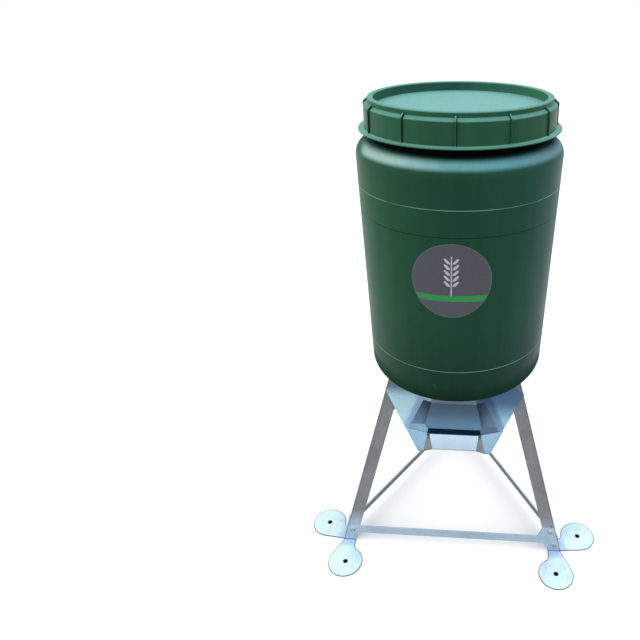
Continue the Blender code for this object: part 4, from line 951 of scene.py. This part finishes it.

# A foot is painted bright on top, as lit by the sky, bluer towards the leg, and painted dark
# round its cut edge as its shade.
bluer = times(tree, ramp(tree, along, 0.262, 0.236, 0.0, 0.55), ramp(tree, reach, 0.255, 0.195))
bluer = calc(tree, "MAXIMUM", bluer, ramp(tree, reach, 0.172, 0.188, 1.0, 0.0, smooth=True))
foot_light = blend(tree, bluer, (0.76, 1.0, 1.0, 1.0), (0.52, 0.70, 1.0, 1.0))
is_foot = calc(tree, "LESS_THAN", z, foot_top)
tone = blend(tree, times(tree, is_foot, ramp(tree, rise, 0.6, 0.8)), shank, foot_light)
edge = times(tree, is_foot, ramp(tree, rise, 0.6, 0.8, 1.0, 0.0))
cut = add(tree, "ShaderNodeAttribute", attribute_name="cut_edge").outputs["Fac"]
feed(tree, coat, {"Colour": blend(tree, calc(tree, "MAXIMUM", edge, cut), tone,
                                  (0.085, 0.105, 0.105, 1.0))})
for number in (1, 2, 3):
    work = sheet_work("leg_%d" % number)
    marked = work.faces.layers.float.new("cut_edge")
    flats = [face for face in work.faces
             if face.normal.z > 0.99 and face.calc_center_median().z < foot_top]
    for face in bmesh.ops.inset_region(work, faces=flats, thickness=cut_width,
                                       use_even_offset=True, use_boundary=True)["faces"]:
        face[marked] = 1.0
    show_sheet("leg_sheet_%d" % number, work, "leg_%d" % number, leg_zinc, "leg_zinc", 0.0004)

# The crossbars: flat steel 3 mm thick with one wide end, galvanised and bolted on from
# outside, one between each two legs.
bar_zinc, tree, coat = zinc("bar_zinc", contrast=0.22, crystals=0.15, roughness=0.44,
                            metallic=0.10)
# Painted light and shade: faces that look in towards the axis are painted dark and faces that
# look up are painted light.
lie = use(tree, lie_of_the_sheets).outputs
tone = blend(tree, lie["Inwards"], (0.50, 0.64, 0.78, 1.0), (0.19, 0.21, 0.24, 1.0))
feed(tree, coat, {"Colour": fade_over(tree, lie["Rise"], tone,
                                      (0.5, 0.8, (0.50, 0.60, 0.72, 1.0)))})
for number in (1, 2, 3):
    show_sheet("crossbar_sheet_%d" % number, sheet_work("crossbar_%d" % number),
               "crossbar_%d" % number, bar_zinc, "sheet_zinc", 0.0005)

# The bolts, nuts and rivets: zinc-plated steel. Hexagon bolts and nuts hold the crossbars on
# the legs and the keg on its seat, and round-headed rivets hold the panels and the roofs.
plated, tree, coat = zinc("plated_steel", contrast=0.25, crystals=0.05, roughness=0.28,
                          metallic=0.60)
# Painted light and shade: faces that look down are painted nearly black and faces that look up
# white.
rise = use(tree, lie_of_the_sheets).outputs["Rise"]
feed(tree, coat, {"Colour": fade_over(tree, rise, (0.020, 0.030, 0.045, 1.0),
                                      (-0.20, 0.70, (1.0, 1.0, 1.0, 1.0)))})
for name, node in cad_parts.items():
    if "bolt" in name or "nut" in name or "rivet" in name:
        give_finish(node.data, plated)

# The camera: it stands 1.2 m up in front of the feeder and looks down on it by 30 degrees,
# turned a little to the left. Its lens and its shift are given in the picture's pixels.
picture_px, focal_px, shift_px = 640.0, 566.9, -120.8
sensor_mm = 36.0
eye = Vector((0.0424, -1.1726, 1.2329))
pan, pitch, roll = -0.0706, 0.5324, -0.0014
level = Vector((math.sin(pan), math.cos(pan), 0.0))
sideways = Vector((math.cos(pan), -math.sin(pan), 0.0))
upwards = level * math.sin(pitch) + Vector((0.0, 0.0, math.cos(pitch)))
ahead = level * math.cos(pitch) - Vector((0.0, 0.0, math.sin(pitch)))
right = sideways * math.cos(roll) + upwards * math.sin(roll)
top = upwards * math.cos(roll) - sideways * math.sin(roll)
camera_data = bpy.data.cameras.new("camera")
camera_data.lens = focal_px * sensor_mm / picture_px
camera_data.shift_x = shift_px / picture_px
camera = put_in_scene("camera", camera_data)
camera.matrix_world = Matrix.Translation(eye) @ Matrix((right, top, -ahead)).transposed().to_4x4()
bpy.context.scene.camera = camera

# The light: an overcast sky, bright overhead and dim at the horizon, and three soft lamps
# like large windows. The sky shows as plain white, also in the metal.


def plainly_seen(tree):
    """1 for camera, glossy and transmission rays and 0 for the diffuse ones."""
    rays = add(tree, "ShaderNodeLightPath").outputs
    seen = calc(tree, "ADD", rays["Is Camera Ray"], rays["Is Glossy Ray"])
    return calc(tree, "ADD", seen, rays["Is Transmission Ray"], clamp=True)


def seen_apart(tree, lights, shows, end):
    """Feeds the end node one shader for the light it throws and another for what is seen."""
    both = add(tree, "ShaderNodeMixShader", {0: plainly_seen(tree), 1: lights.outputs[0],
                                             2: shows.outputs[0]})
    feed(tree, tree.nodes[end], {0: both.outputs[0]})


sky = bpy.data.worlds.new("overcast_sky")
bpy.context.scene.world = sky
sky.use_nodes = True
tree = sky.node_tree
height = apart(tree, add(tree, "ShaderNodeTexCoord").outputs["Generated"])[2]
soft = add(tree, "ShaderNodeBackground", {"Color": (0.94, 0.97, 1.0, 1.0),
                                          "Strength": ramp(tree, height, 0.0, 0.9, 0.22, 1.25)})
white = add(tree, "ShaderNodeBackground", {"Color": (1.0, 1.0, 1.0, 1.0), "Strength": 1.0})
seen_apart(tree, soft, white, "World Output")
for name, place, spread, power in (("window_left", (-1.6, -1.1, 1.5), 70.0, 0.85),
                                   ("window_right", (1.8, -0.8, 1.3), 60.0, 0.60),
                                   ("window_back", (0.3, 1.8, 1.4), 80.0, 0.35)):
    lamp = bpy.data.lights.new(name, "SUN")
    lamp.angle = math.radians(spread)
    lamp.energy = power
    aim = (-Vector(place)).to_track_quat("-Z", "Y").to_matrix().to_4x4()
    put_in_scene(name, lamp).matrix_world = Matrix.Translation(place) @ aim

# The ground: a wide floor of white paper, which throws back little light on the object, and a
# small dark disc on the floor in each foot's peg hole.
floor_half = 6.0
floor_corners = floor_half * np.array([(-1, -1, 0), (1, -1, 0), (1, 1, 0), (-1, 1, 0)])
floor_mesh = bpy.data.meshes.new("floor")
floor_mesh.from_pydata(floor_corners.tolist(), [], [(0, 1, 2, 3)])
paper, tree, _ = new_material("white_paper")
matt = add(tree, "ShaderNodeBsdfDiffuse", {"Color": (0.95, 0.95, 0.95, 1.0)})
glow = add(tree, "ShaderNodeEmission", {"Strength": 0.08})
pale = add(tree, "ShaderNodeAddShader", {0: matt.outputs[0], 1: glow.outputs[0]})
dull = add(tree, "ShaderNodeBsdfDiffuse", {"Color": (0.22, 0.23, 0.24, 1.0)})
seen_apart(tree, dull, pale, "Material Output")
give_finish(floor_mesh, paper)
floor = put_in_scene("floor", floor_mesh)
hole_dark, tree, shader = new_material("dark_peg_hole")
speckle = noise(tree, object_place(tree), 900.0, 3.0)
feed(tree, shader, {"Base Color": blend(tree, speckle, (0.001, 0.002, 0.002, 1.0),
                                        (0.012, 0.015, 0.015, 1.0)),
                    "Specular IOR Level": 0.0})
peg_along, peg_out, disc_radius, disc_height = 0.2591, 0.226, 0.0049, 0.0002
angle = np.arange(24) * 2.0 * np.pi / 24
discs = []
for number in (1, 2, 3):
    for middle in (-peg_along, peg_along):
        x, y = to_side(number, middle + disc_radius * np.cos(angle),
                       disc_radius * np.sin(angle) - peg_out)
        discs.append(np.stack([x, y, np.full(len(angle), disc_height)], axis=1))
ground_mesh = bpy.data.meshes.new("dark_in_peg_holes")
ground_mesh.from_pydata(np.concatenate(discs).tolist(), [],
                        np.arange(len(discs) * len(angle)).reshape(len(discs), -1).tolist())
give_finish(ground_mesh, hole_dark)
ground = put_in_scene("dark_in_peg_holes", ground_mesh)

bpy.context.scene.view_settings.view_transform = "Standard"
